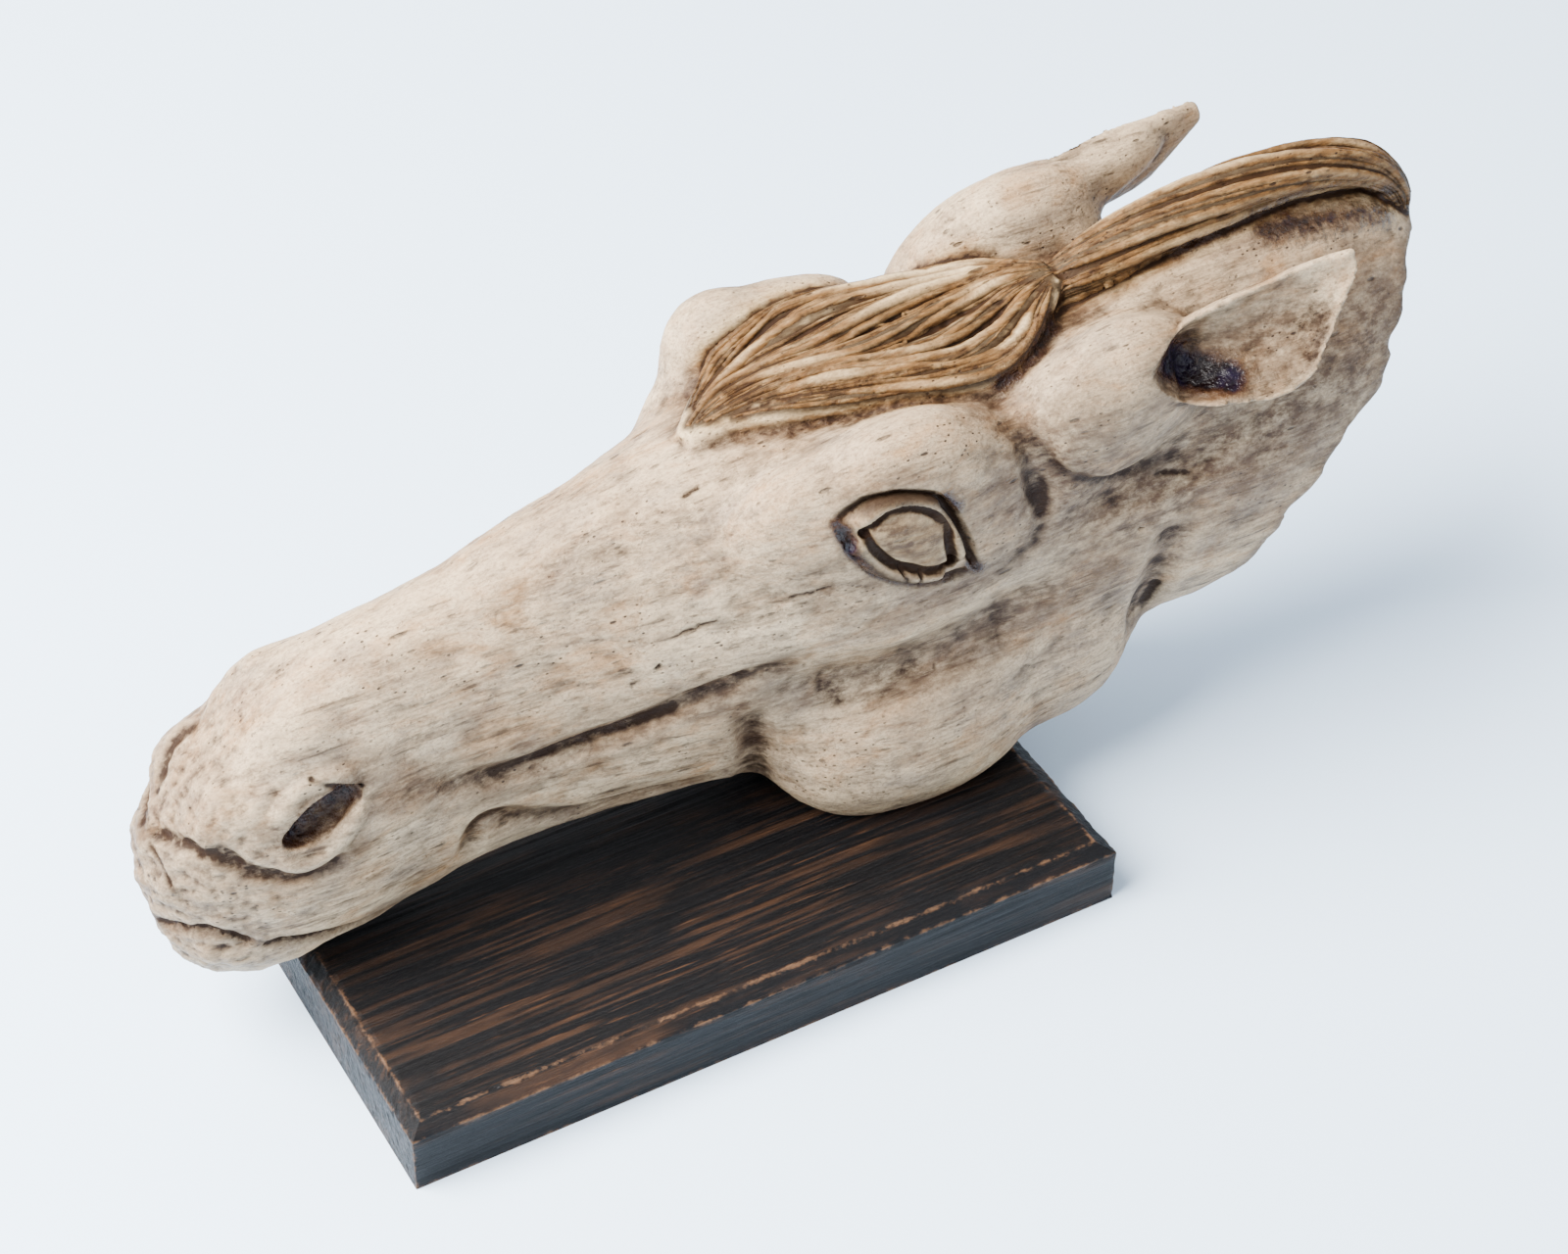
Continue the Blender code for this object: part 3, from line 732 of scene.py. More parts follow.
class Strands:
    """Hair that is laid along guide lines, as rolls of clay shaped by Geometry Nodes."""

    def __init__(self, name: str, paths: Sequence[np.ndarray], radii: Sequence[np.ndarray]) -> None:
        """Make the guide curves.

        Args:
            name: Name of the piece.
            paths: The middle line of each strand, in drawn units.
            radii: The strand's radius at each point of its line.
        """
        curve = bpy.data.curves.new(name, "CURVE")
        curve.dimensions = "3D"
        for path, radius in zip(paths, radii):
            spline = curve.splines.new("POLY")
            spline.points.add(len(path) - 1)
            spline.points.foreach_set("co", np.column_stack((path, np.ones(len(path)))).ravel())
            spline.points.foreach_set("radius", radius.astype(np.float32))
        self.thing = bpy.data.objects.new(name, curve)
        bpy.context.scene.collection.objects.link(self.thing)

    @staticmethod
    def tree() -> bpy.types.NodeTree:
        """Build the node tree that rolls the strands and lays them on the clay."""
        tree = bpy.data.node_groups.new("rolled_strands", "GeometryNodeTree")
        face = tree.interface
        face.new_socket("Geometry", in_out="INPUT", socket_type="NodeSocketGeometry")
        for name, kind, value in (
            ("Clay", "NodeSocketObject", None), ("Sink", "NodeSocketFloat", 0.3),
            ("Sides", "NodeSocketInt", 8), ("Spacing", "NodeSocketFloat", 1.1),
            ("Ripple", "NodeSocketFloat", 0.35), ("Ripple Scale", "NodeSocketFloat", 0.22),
            ("Seed", "NodeSocketFloat", 3.0), ("Finish", "NodeSocketMaterial", None),
        ):
            socket = face.new_socket(name, in_out="INPUT", socket_type=kind)
            if value is not None:
                socket.default_value = value
        face.new_socket("Geometry", in_out="OUTPUT", socket_type="NodeSocketGeometry")
        nodes = {name: tree.nodes.new(kind) for name, kind in (
            ("given", "NodeGroupInput"), ("made", "NodeGroupOutput"),
            ("resample", "GeometryNodeResampleCurve"), ("radius", "GeometryNodeInputRadius"),
            ("place", "GeometryNodeInputPosition"), ("clay", "GeometryNodeObjectInfo"),
            ("nearest", "GeometryNodeProximity"), ("facing", "GeometryNodeSampleNearestSurface"),
            ("normal", "GeometryNodeInputNormal"), ("ripple", "ShaderNodeTexNoise"),
            ("centred", "ShaderNodeMath"), ("strength", "ShaderNodeMath"), ("lower", "ShaderNodeMath"),
            ("height", "ShaderNodeMath"), ("scaled", "ShaderNodeVectorMath"),
            ("summed", "ShaderNodeVectorMath"), ("settle", "GeometryNodeSetPosition"),
            ("ring", "GeometryNodeCurvePrimitiveCircle"), ("roll", "GeometryNodeCurveToMesh"),
            ("shade", "GeometryNodeSetShadeSmooth"), ("real", "GeometryNodeRealizeInstances"),
            ("dress", "GeometryNodeSetMaterial"),
        )}
        for name, setting, value in (
            ("resample", "mode", "LENGTH"), ("nearest", "target_element", "FACES"),
            ("facing", "data_type", "FLOAT_VECTOR"), ("ripple", "noise_dimensions", "4D"),
            ("centred", "operation", "SUBTRACT"), ("strength", "operation", "MULTIPLY"),
            ("lower", "operation", "MULTIPLY"), ("height", "operation", "SUBTRACT"),
            ("scaled", "operation", "SCALE"), ("summed", "operation", "ADD"),
        ):
            setattr(nodes[name], setting, value)
        nodes["centred"].inputs[1].default_value = 0.5
        nodes["roll"].inputs["Fill Caps"].default_value = True
        for start, output, end, entry in (
            ("given", "Geometry", "resample", "Curve"), ("given", "Spacing", "resample", "Length"),
            ("given", "Clay", "clay", "Object"), ("clay", "Geometry", "nearest", 0),
            ("clay", "Geometry", "facing", "Mesh"), ("normal", 0, "facing", "Value"),
            ("place", 0, "ripple", "Vector"), ("given", "Seed", "ripple", "W"),
            ("given", "Ripple Scale", "ripple", "Scale"), ("ripple", 0, "centred", 0),
            ("centred", 0, "strength", 0), ("given", "Ripple", "strength", 1),
            ("radius", 0, "lower", 0), ("given", "Sink", "lower", 1),
            ("strength", 0, "height", 0), ("lower", 0, "height", 1),
            ("facing", "Value", "scaled", 0), ("height", 0, "scaled", "Scale"),
            ("nearest", "Position", "summed", 0), ("scaled", 0, "summed", 1),
            ("resample", 0, "settle", "Geometry"), ("summed", 0, "settle", "Position"),
            ("given", "Sides", "ring", "Resolution"), ("settle", 0, "roll", "Curve"),
            ("ring", 0, "roll", "Profile Curve"), ("radius", 0, "roll", "Scale"),
            ("roll", 0, "shade", 0), ("shade", 0, "real", 0), ("real", 0, "dress", "Geometry"),
            ("given", "Finish", "dress", "Material"), ("dress", 0, "made", 0),
        ):
            tree.links.new(nodes[start].outputs[output], nodes[end].inputs[entry])
        return tree

    def roll(self, name: str, clay: bpy.types.Object, finish: bpy.types.Material, sink: float) -> Clay:
        """Turn the guide curves into rolls of clay that lie on another body.

        Args:
            name: Name of the finished piece.
            clay: The body that the strands lie on.
            finish: The strands' material.
            sink: Share of a strand's radius that is sunk into the clay.

        Returns:
            The strands as one piece.
        """
        tree = self.tree()
        modifier = self.thing.modifiers.new("rolled", "NODES")
        modifier.node_group = tree
        keys = {
            item.name: item.identifier for item in tree.interface.items_tree if item.in_out == "INPUT"
        }
        modifier[keys["Clay"]] = clay
        modifier[keys["Sink"]] = sink
        modifier[keys["Finish"]] = finish
        graph = bpy.context.evaluated_depsgraph_get()
        mesh = bpy.data.meshes.new_from_object(self.thing.evaluated_get(graph))
        places = np.empty(len(mesh.vertices) * 3, dtype=np.float32)
        mesh.vertices.foreach_get("co", places)
        faces = [tuple(face.vertices) for face in mesh.polygons]
        bpy.data.objects.remove(self.thing)
        piece = Clay(name, [(places.reshape(-1, 3).astype(float), faces)])
        piece.thing.data.materials.append(finish)
        return piece


@dataclass(frozen=True)
class HairCut:
    """How the single hairs of a lock begin and end, and how their thickness varies."""

    points: int
    ends: tuple[float, float]
    sizes: tuple[float, float]
    swell: tuple[float, float]
    tail: float
    starts: tuple[float, float] = (0, 8)
    swell_turns: float = 1.3
    tip: float = 0.12

    def cut(
        self, chance: np.random.Generator, path: np.ndarray, radius: float
    ) -> tuple[np.ndarray, np.ndarray]:
        """Cut one hair from its full line.

        Args:
            chance: Source of the random draws.
            path: The hair's full line.
            radius: The usual radius of such a hair.

        Returns:
            The part of the line that is left and the hair's radius along it.
        """
        start, end = int(chance.uniform(*self.starts)), self.points - int(chance.uniform(*self.ends))
        size = radius * chance.uniform(*self.sizes)
        along = np.linspace(0, 1, end - start)
        mean, swing = self.swell
        swell = mean + swing * np.sin(2 * math.pi * (self.swell_turns * along + chance.random()))
        taper = np.clip(along / self.tip, 0.3, 1) * np.clip((1 - along) / self.tail, 0.22, 1) ** 0.7
        return path[start:end], size * swell * taper


@dataclass
class Forelock:
    """The wavy locks that fall from the poll over the forehead."""

    far_edge: Points = (
        (328, 4, 167), (309, 18, 164), (294, 24, 162), (268, 25, 163), (246, 25, 162), (230, 24, 158),
        (216, 20, 154), (204, 11, 152), (194, 1, 150),
    )
    near_edge: Points = (
        (328, -3, 166), (318, -10, 162), (305, -17, 158), (290, -20, 155), (270, -19, 154), (248, -14, 154),
        (230, -8, 154), (212, -3, 153), (194, -1, 150),
    )
    locks: int = 7
    lock_radius: float = 4.6
    bed: float = 5.0
    main_strands: int = 11
    strand_radius: float = 2.5
    hairs: int = 26
    hair_radius: float = 1.2
    hair_lift: float = 3.0
    hair_cut: HairCut = HairCut(60, (1, 16), (0.6, 1.45), (0.72, 0.28), 0.3)
    wave: float = 0.06
    rise: float = 3.0
    spread: float = 1.14
    overlap: float = 0.07
    seed: int = 5

    def path(self, part: float, count: int = LOCK_POINTS) -> np.ndarray:
        """Draw the wavy line at a share of the way from the far edge to the near one.

        Args:
            part: The share, 0 at the far edge and 1 at the near one.
            count: How many points it gets.

        Returns:
            The line's points.
        """
        far, near = smooth_path(self.far_edge, count), smooth_path(self.near_edge, count)
        share = np.linspace(0, 1, count)
        wave = self.wave * np.sin(2 * math.pi * (1.4 * share + 0.9 * part)) * np.sin(math.pi * share)
        mix = np.clip(part + wave, -0.08, 1.08)[:, None]
        lift = self.rise * math.sin(math.pi * part) * np.sin(math.pi * share) ** 0.5
        return far + (near - far) * mix + np.column_stack((0 * share, 0 * share, lift))

    def bodies(self) -> Iterator[Body]:
        """Make the thick locks and the bed of clay below them."""
        share = np.linspace(0, 1, LOCK_POINTS)
        radii = self.lock_radius * (0.55 + 0.45 * np.sin(math.pi * share) ** 0.6)
        for lock in range(self.locks):
            path = self.path(lock / (self.locks - 1))
            yield tube(path, radii)
            yield tube(path - np.array([0, 0, self.bed]), radii)

    def strands(self) -> tuple[list[np.ndarray], list[np.ndarray]]:
        """Draw the hairs that lie on the locks.

        Returns:
            Their middle lines and their radii.
        """
        chance = np.random.default_rng(self.seed)
        paths, radii = [], []
        for i in range(self.main_strands + self.hairs):
            thick = i < self.main_strands
            count = self.main_strands if thick else self.hairs
            part = ((i if thick else i - self.main_strands) + 0.5 + chance.uniform(-0.3, 0.3)) / count
            part = self.spread * part - self.overlap
            path = self.path(part, self.hair_cut.points)
            share = np.linspace(0, 1, self.hair_cut.points)
            turn = share * chance.uniform(0.6, 1.1) + chance.random()
            bend = chance.uniform(1.4, 3.4) * np.sin(2 * math.pi * turn)
            path = path + np.column_stack(
                (0 * share, bend * np.sin(math.pi * share), 0 * share + self.hair_lift)
            )
            radius = self.strand_radius if thick else self.hair_radius
            line, thickness = self.hair_cut.cut(chance, path, radius)
            paths.append(line)
            radii.append(thickness)
        return paths, radii


@dataclass
class Crest:
    """The rope of hair along the top of the neck."""

    path: Points = (
        (322, 0, 159), (340, 0, 166), (372, 0, 174), (418, 0, 177), (451, 0, 170), (466, 0, 158),
        (470, 0, 148),
    )
    locks: int = 5
    reach: float = 6.5
    lock_radius: float = 4.0
    twist: float = 0.55
    main_strands: int = 8
    strand_radius: float = 2.3
    hairs: int = 20
    hair_radius: float = 1.15
    hair_reach: float = 1.6
    hair_cut: HairCut = HairCut(70, (2, 14), (0.8, 1.3), (0.75, 0.25), 0.25)
    flatness: float = 0.7
    seed: int = 8

    def line(self, part: float, outward: float = 1.0, count: int = LOCK_POINTS) -> np.ndarray:
        """Draw a line laid round the rope, at a share of a full turn.

        Args:
            part: The share of a full turn at which the line starts.
            outward: How far out it lies, as a share of the rope's own reach.
            count: How many points it gets.

        Returns:
            The line's points.
        """
        path = smooth_path(self.path, count)
        share = np.linspace(0, 1, count)
        reach = outward * self.reach * np.sin(math.pi * (0.12 + 0.8 * share)) ** 0.5
        turn = 2 * math.pi * (part + self.twist * share)
        return path + np.column_stack((0 * share, reach * np.cos(turn), self.flatness * reach * np.sin(turn)))

    def bodies(self) -> Iterator[Body]:
        """Make the thick locks of the rope."""
        share = np.linspace(0, 1, LOCK_POINTS)
        radii = self.lock_radius * np.sin(math.pi * (0.12 + 0.76 * share)) ** 0.5
        for lock in range(self.locks):
            yield tube(self.line(lock / self.locks), radii)

    def strands(self) -> tuple[list[np.ndarray], list[np.ndarray]]:
        """Draw the hairs that lie on the rope.

        Returns:
            Their middle lines and their radii.
        """
        chance = np.random.default_rng(self.seed)
        paths, radii = [], []
        for i in range(self.main_strands + self.hairs):
            thick = i < self.main_strands
            count = self.main_strands if thick else self.hairs
            part = (i + chance.uniform(-0.3, 0.3)) / count
            path = self.line(part, self.hair_reach, self.hair_cut.points)
            radius = self.strand_radius if thick else self.hair_radius
            line, thickness = self.hair_cut.cut(chance, path, radius)
            paths.append(line)
            radii.append(thickness)
        return paths, radii


class Shader:
    """Adds the nodes of one material and joins them."""

    def __init__(self, name: str) -> None:
        """Make an empty node material.

        Args:
            name: Name of the material.
        """
        self.material = bpy.data.materials.new(name)
        self.material.use_nodes = True
        self.tree = self.material.node_tree
        self.surface = self.tree.nodes["Principled BSDF"]
        self.object = self.tree.nodes.new("ShaderNodeTexCoord").outputs["Object"]

    def node(self, kind: str, **settings: object) -> bpy.types.Node:
        """Add a node and set its properties.

        Args:
            kind: The node's type.
            settings: Its properties by name.

        Returns:
            The node.
        """
        made = self.tree.nodes.new(kind)
        for key, value in settings.items():
            setattr(made, key, value)
        return made

    def join(self, start: object, end: object) -> None:
        """Join an output to an input."""
        self.tree.links.new(start, end)

    def put(self, socket: object, value: object) -> None:
        """Set an input to a number or a colour, or join an output to it.

        Args:
            socket: The input.
            value: A number, a colour or an output.
        """
        if isinstance(value, bpy.types.NodeSocket):
            self.join(value, socket)
        elif isinstance(value, tuple) and len(value) == 3 and socket.type == "RGBA":
            socket.default_value = (*value, 1.0)
        else:
            socket.default_value = value

    def grain(self, scale: Sequence[float], detail: float = 4.0, rough: float = 0.55, shift: float = 0.0,
              warp: float = 0.0) -> object:
        """Add noise over the object's own coordinates.

        Args:
            scale: Repeats of the pattern in a metre, along each axis.
            detail: How many finer layers it has.
            rough: How strong the finer layers are.
            shift: Moves the pattern, so that two differ.
            warp: How much the pattern is distorted.

        Returns:
            The output with values round a half.
        """
        mapping = self.node("ShaderNodeMapping")
        mapping.inputs["Scale"].default_value = tuple(scale)
        mapping.inputs["Location"].default_value = (shift, shift * 0.7, shift * 1.3)
        self.join(self.object, mapping.inputs["Vector"])
        made = self.node("ShaderNodeTexNoise")
        made.inputs["Scale"].default_value = 1.0
        made.inputs["Detail"].default_value = detail
        made.inputs["Roughness"].default_value = rough
        made.inputs["Distortion"].default_value = warp
        self.join(mapping.outputs[0], made.inputs["Vector"])
        return made.outputs[0]

    def specks(self, scale: Sequence[float], size: float, share: float, shift: float = 0.0) -> object:
        """Add scattered specks.

        Args:
            scale: Cells in a metre, along each axis.
            size: A speck's size as a share of its cell.
            share: The share of cells that hold one.
            shift: Moves the pattern, so that two differ.

        Returns:
            The output that is 1 in a speck and 0 elsewhere.
        """
        mapping = self.node("ShaderNodeMapping")
        mapping.inputs["Scale"].default_value = tuple(scale)
        mapping.inputs["Location"].default_value = (shift, shift, shift)
        self.join(self.object, mapping.inputs["Vector"])
        cells = self.node("ShaderNodeTexVoronoi")
        cells.inputs["Scale"].default_value = 1.0
        self.join(mapping.outputs[0], cells.inputs["Vector"])
        dot = self.ramp(cells.outputs["Distance"], ((size * 0.6, 1.0), (size, 0.0)))
        channels = self.node("ShaderNodeSeparateColor")
        self.join(cells.outputs["Color"], channels.inputs[0])
        chosen = self.ramp(channels.outputs[0], ((share, 1.0), (share + 0.01, 0.0)))
        return self.math("MULTIPLY", dot, chosen)

    def ramp(self, value: object, stops: Sequence[tuple[float, float]]) -> object:
        """Map a value through grey stops of place and brightness.

        Args:
            value: The output that is mapped.
            stops: Pairs of place and brightness, in order of place.

        Returns:
            The output with the brightness.
        """
        made = self.node("ShaderNodeValToRGB")
        elements = made.color_ramp.elements
        elements[0].position, elements[0].color = stops[0][0], (*(stops[0][1],) * 3, 1)
        elements[1].position, elements[1].color = stops[-1][0], (*(stops[-1][1],) * 3, 1)
        for place, grey in stops[1:-1]:
            elements.new(place).color = (grey, grey, grey, 1)
        self.join(value, made.inputs[0])
        return made.outputs[0]

    def math(self, operation: str, first: object, second: object = 0.0, clamp: bool = False) -> object:
        """Join two values with a sum, a product or another operation.

        Args:
            operation: Name of the operation.
            first: A number or an output.
            second: A number or an output.
            clamp: Whether the result is kept between 0 and 1.

        Returns:
            The output with the result.
        """
        made = self.node("ShaderNodeMath", operation=operation, use_clamp=clamp)
        self.put(made.inputs[0], first)
        self.put(made.inputs[1], second)
        return made.outputs[0]

    def mix(self, share: object, first: object, second: object) -> object:
        """Mix two colours by a share.

        Args:
            share: How much of the second colour is taken.
            first: A colour or an output.
            second: A colour or an output.

        Returns:
            The output with the colour.
        """
        made = self.node("ShaderNodeMix", data_type="RGBA")
        self.put(made.inputs[0], share)
        self.put(made.inputs[6], first)
        self.put(made.inputs[7], second)
        return made.outputs[2]

    def layers(self, colour: object, rows: Iterable[tuple[object, float, Colour]]) -> object:
        """Lay tints over a colour in turn, each by its mask and strength.

        Args:
            colour: The colour below.
            rows: Mask, strength and tint of each layer.

        Returns:
            The output with the colour.
        """
        for mask, strength, tint in rows:
            colour = self.mix(self.math("MULTIPLY", mask, strength), colour, tint)
        return colour

    def read(self, name: str) -> object:
        """Read a number kept on the mesh."""
        return self.node("ShaderNodeAttribute", attribute_name=name).outputs["Fac"]

    def bump(self, height: object, distance: float, strength: float, below: object = None) -> object:
        """Turn a height into a normal, on top of another one.

        Args:
            height: The output with the height.
            distance: The full height, in metres.
            strength: How strongly it shows.
            below: The normal that it lies on, if there is one.

        Returns:
            The output with the normal.
        """
        made = self.node("ShaderNodeBump")
        made.inputs["Distance"].default_value = distance
        made.inputs["Strength"].default_value = strength
        self.join(height, made.inputs["Height"])
        if below is not None:
            self.join(below, made.inputs["Normal"])
        return made.outputs[0]


@dataclass(frozen=True)
class CeramicFinish:
    """Bone-coloured stoneware, washed with iron stain and pooled with dark glaze in its hollows; shade is
    painted into its hollows, creases and neck, and glints onto the glaze.
    """

    bone: Colour = (0.31, 0.208, 0.120)
    cream: Colour = (0.50, 0.375, 0.235)
    ochre: Colour = (0.29, 0.130, 0.036)
    # Umber and stain also paint shade in hollows, creases and where the hair meets the head.
    umber: Colour = (0.060, 0.030, 0.014)
    grey: Colour = (0.095, 0.080, 0.074)
    stain: Colour = (0.013, 0.0055, 0.0028)
    glaze: Colour = (0.0045, 0.0018, 0.0022)
    glaze_glint_tint: Colour = (0.009, 0.005, 0.018)
    halo: Colour = (0.032, 0.0105, 0.0032)
    hair: Colour = (0.20, 0.096, 0.028)
    hair_ridge: Colour = (0.60, 0.44, 0.225)

    def material(self) -> bpy.types.Material:
        """Build the material.

        Returns:
            The material.
        """
        s = Shader("worked_ceramic")
        cavity, ridge, umber_wash_and_shade = s.read("cavity"), s.read("ridge"), s.read("umber_wash_and_shade")
        hair, glaze, crease_stain_and_shade, rim = s.read("hair"), s.read("glaze"), s.read("stain"), s.read("rim")
        patches = s.ramp(s.grain((16, 26, 26), 5, 0.6), ((0.36, 0.0), (0.62, 1.0)))
        streaks = s.ramp(s.grain((24, 190, 190), 7, 0.66, 3.1, 0.5), ((0.44, 0.0), (0.64, 1.0)))
        lines = s.ramp(s.grain((70, 640, 640), 5, 0.6, 7.7, 0.4), ((0.45, 0.0), (0.70, 1.0)))
        scratches = s.ramp(s.grain((60, 700, 700), 4, 0.55, 23.0, 0.2), ((0.57, 0.0), (0.64, 1.0)))
        clouds = s.ramp(s.grain((26, 48, 48), 7, 0.66, 11.0, 0.6), ((0.49, 0.0), (0.66, 1.0)))
        warm = s.ramp(s.grain((34, 56, 56), 7, 0.68, 19.0, 0.6), ((0.48, 0.0), (0.62, 1.0)))
        grit = s.ramp(s.grain((700, 1100, 1100), 4, 0.7, 29.0), ((0.30, 0.0), (0.55, 1.0)))
        mottle = s.ramp(s.grain((150, 260, 260), 6, 0.7, 5.0), ((0.36, 0.35), (0.60, 1.0)))
        colour = s.mix(patches, self.bone, self.cream)
        colour = s.layers(colour, (
            (warm, 0.60, self.ochre), (clouds, 0.62, self.grey), (streaks, 0.60, self.umber),
            (lines, 0.50, self.cream),
        ))
        scored = s.math("ADD", s.math("MULTIPLY", streaks, 0.5), 0.28)
        colour = s.mix(s.math("MULTIPLY", scratches, scored), colour, self.stain)
        hair_tone = s.mix(ridge, self.hair, self.hair_ridge)
        hair_tone = s.layers(hair_tone, ((streaks, 0.30, self.umber), (lines, 0.35, self.hair_ridge)))
        colour = s.mix(hair, colour, hair_tone)
        colour = s.layers(colour, ((ridge, 0.45, self.cream),))
        # Umber over the wash layer: partly the brown iron wash and the eye's colour, partly painted shade on
        # the neck, in the ear cup and in broad hollows.
        colour = s.mix(s.math("MULTIPLY", s.math("MULTIPLY", umber_wash_and_shade, mottle), 1.0, True), colour, self.umber)
        colour = s.layers(colour, ((s.math("SUBTRACT", 1.0, grit), 0.55, self.umber),))
        brown = s.math("MULTIPLY", rim, mottle)
        colour = s.mix(s.math("MULTIPLY", brown, 0.75, True), colour, self.umber)
        # Near-black over small hollows, creases and where the hair meets the head: partly the stain in the
        # real grooves, partly painted shade.
        groove_stain_and_shade = s.math("ADD", s.math("MULTIPLY", cavity, mottle), crease_stain_and_shade, True)
        colour = s.mix(s.math("MULTIPLY", groove_stain_and_shade, 0.93, True), colour, self.stain)
        broad, small = s.specks((130, 420, 420), 0.24, 0.15), s.specks((420, 700, 700), 0.27, 0.22, 4.0)
        dots = s.math("ADD", broad, small, True)
        strewn = s.ramp(s.grain((22, 34, 34), 4, 0.6, 27.0), ((0.44, 0.12), (0.60, 1.0)))
        dots = s.math("MULTIPLY", dots, strewn)
        blots = s.specks((46, 240, 240), 0.20, 0.16, 9.0)
        colour = s.layers(colour, (
            (dots, 0.90, self.stain), (s.math("MULTIPLY", blots, mottle), 0.85, self.stain),
        ))
        uneven = s.math("MULTIPLY", s.math("SUBTRACT", s.grain((260, 260, 260), 4, 0.6, 2.0), 0.5), 0.7)
        pool = s.ramp(s.math("ADD", glaze, uneven), ((0.44, 0.0), (0.74, 1.0)))
        halo = s.ramp(s.math("ADD", glaze, uneven), ((0.08, 0.0), (0.56, 1.0)))
        colour = s.layers(colour, ((halo, 0.88, self.halo),))
        # Lighter blue-violet patches in the glaze: partly its own colour, partly painted glints.
        painted_glint = s.ramp(s.grain((120, 120, 120), 3, 0.5, 14.0), ((0.45, 0.0), (0.7, 1.0)))
        violet = s.mix(painted_glint, self.glaze, self.glaze_glint_tint)
        colour = s.mix(pool, colour, violet)
        s.join(colour, s.surface.inputs["Base Color"])
        worn = s.ramp(s.grain((300, 500, 500), 5, 0.6, 9.0), ((0.3, 0.48), (0.7, 0.72)))
        rough = s.mix(s.math("MULTIPLY", groove_stain_and_shade, 0.6, True), worn, (0.46, 0.46, 0.46))
        rough = s.mix(halo, rough, (0.12, 0.12, 0.12))
        s.join(rough, s.surface.inputs["Roughness"])
        shine = s.mix(s.math("MULTIPLY", groove_stain_and_shade, 0.9), (0.22, 0.22, 0.22), (0.06, 0.06, 0.06))
        shine = s.mix(halo, shine, (0.26, 0.26, 0.26))
        s.join(shine, s.surface.inputs["Specular IOR Level"])
        matt = s.math("SUBTRACT", 1.0, pool)
        fine = s.bump(s.grain((500, 1500, 1500), 6, 0.65, 1.0), 0.0007, 0.35)
        brushed = s.bump(s.grain((70, 640, 640), 5, 0.6, 7.7, 0.4), 0.0010, 0.35, fine)
        lumpy = s.bump(s.grain((110, 160, 160), 5, 0.6, 31.0), 0.0016, 0.25, brushed)
        wet = s.bump(s.math("MULTIPLY", s.grain((230, 260, 260), 3, 0.6, 37.0), halo), 0.004, 0.6, lumpy)
        pits = s.math("MULTIPLY", s.math("SUBTRACT", 1.0, s.math("MAXIMUM", dots, blots)), matt)
        s.join(s.bump(pits, 0.0007, 0.7, wet), s.surface.inputs["Normal"])
        return s.material


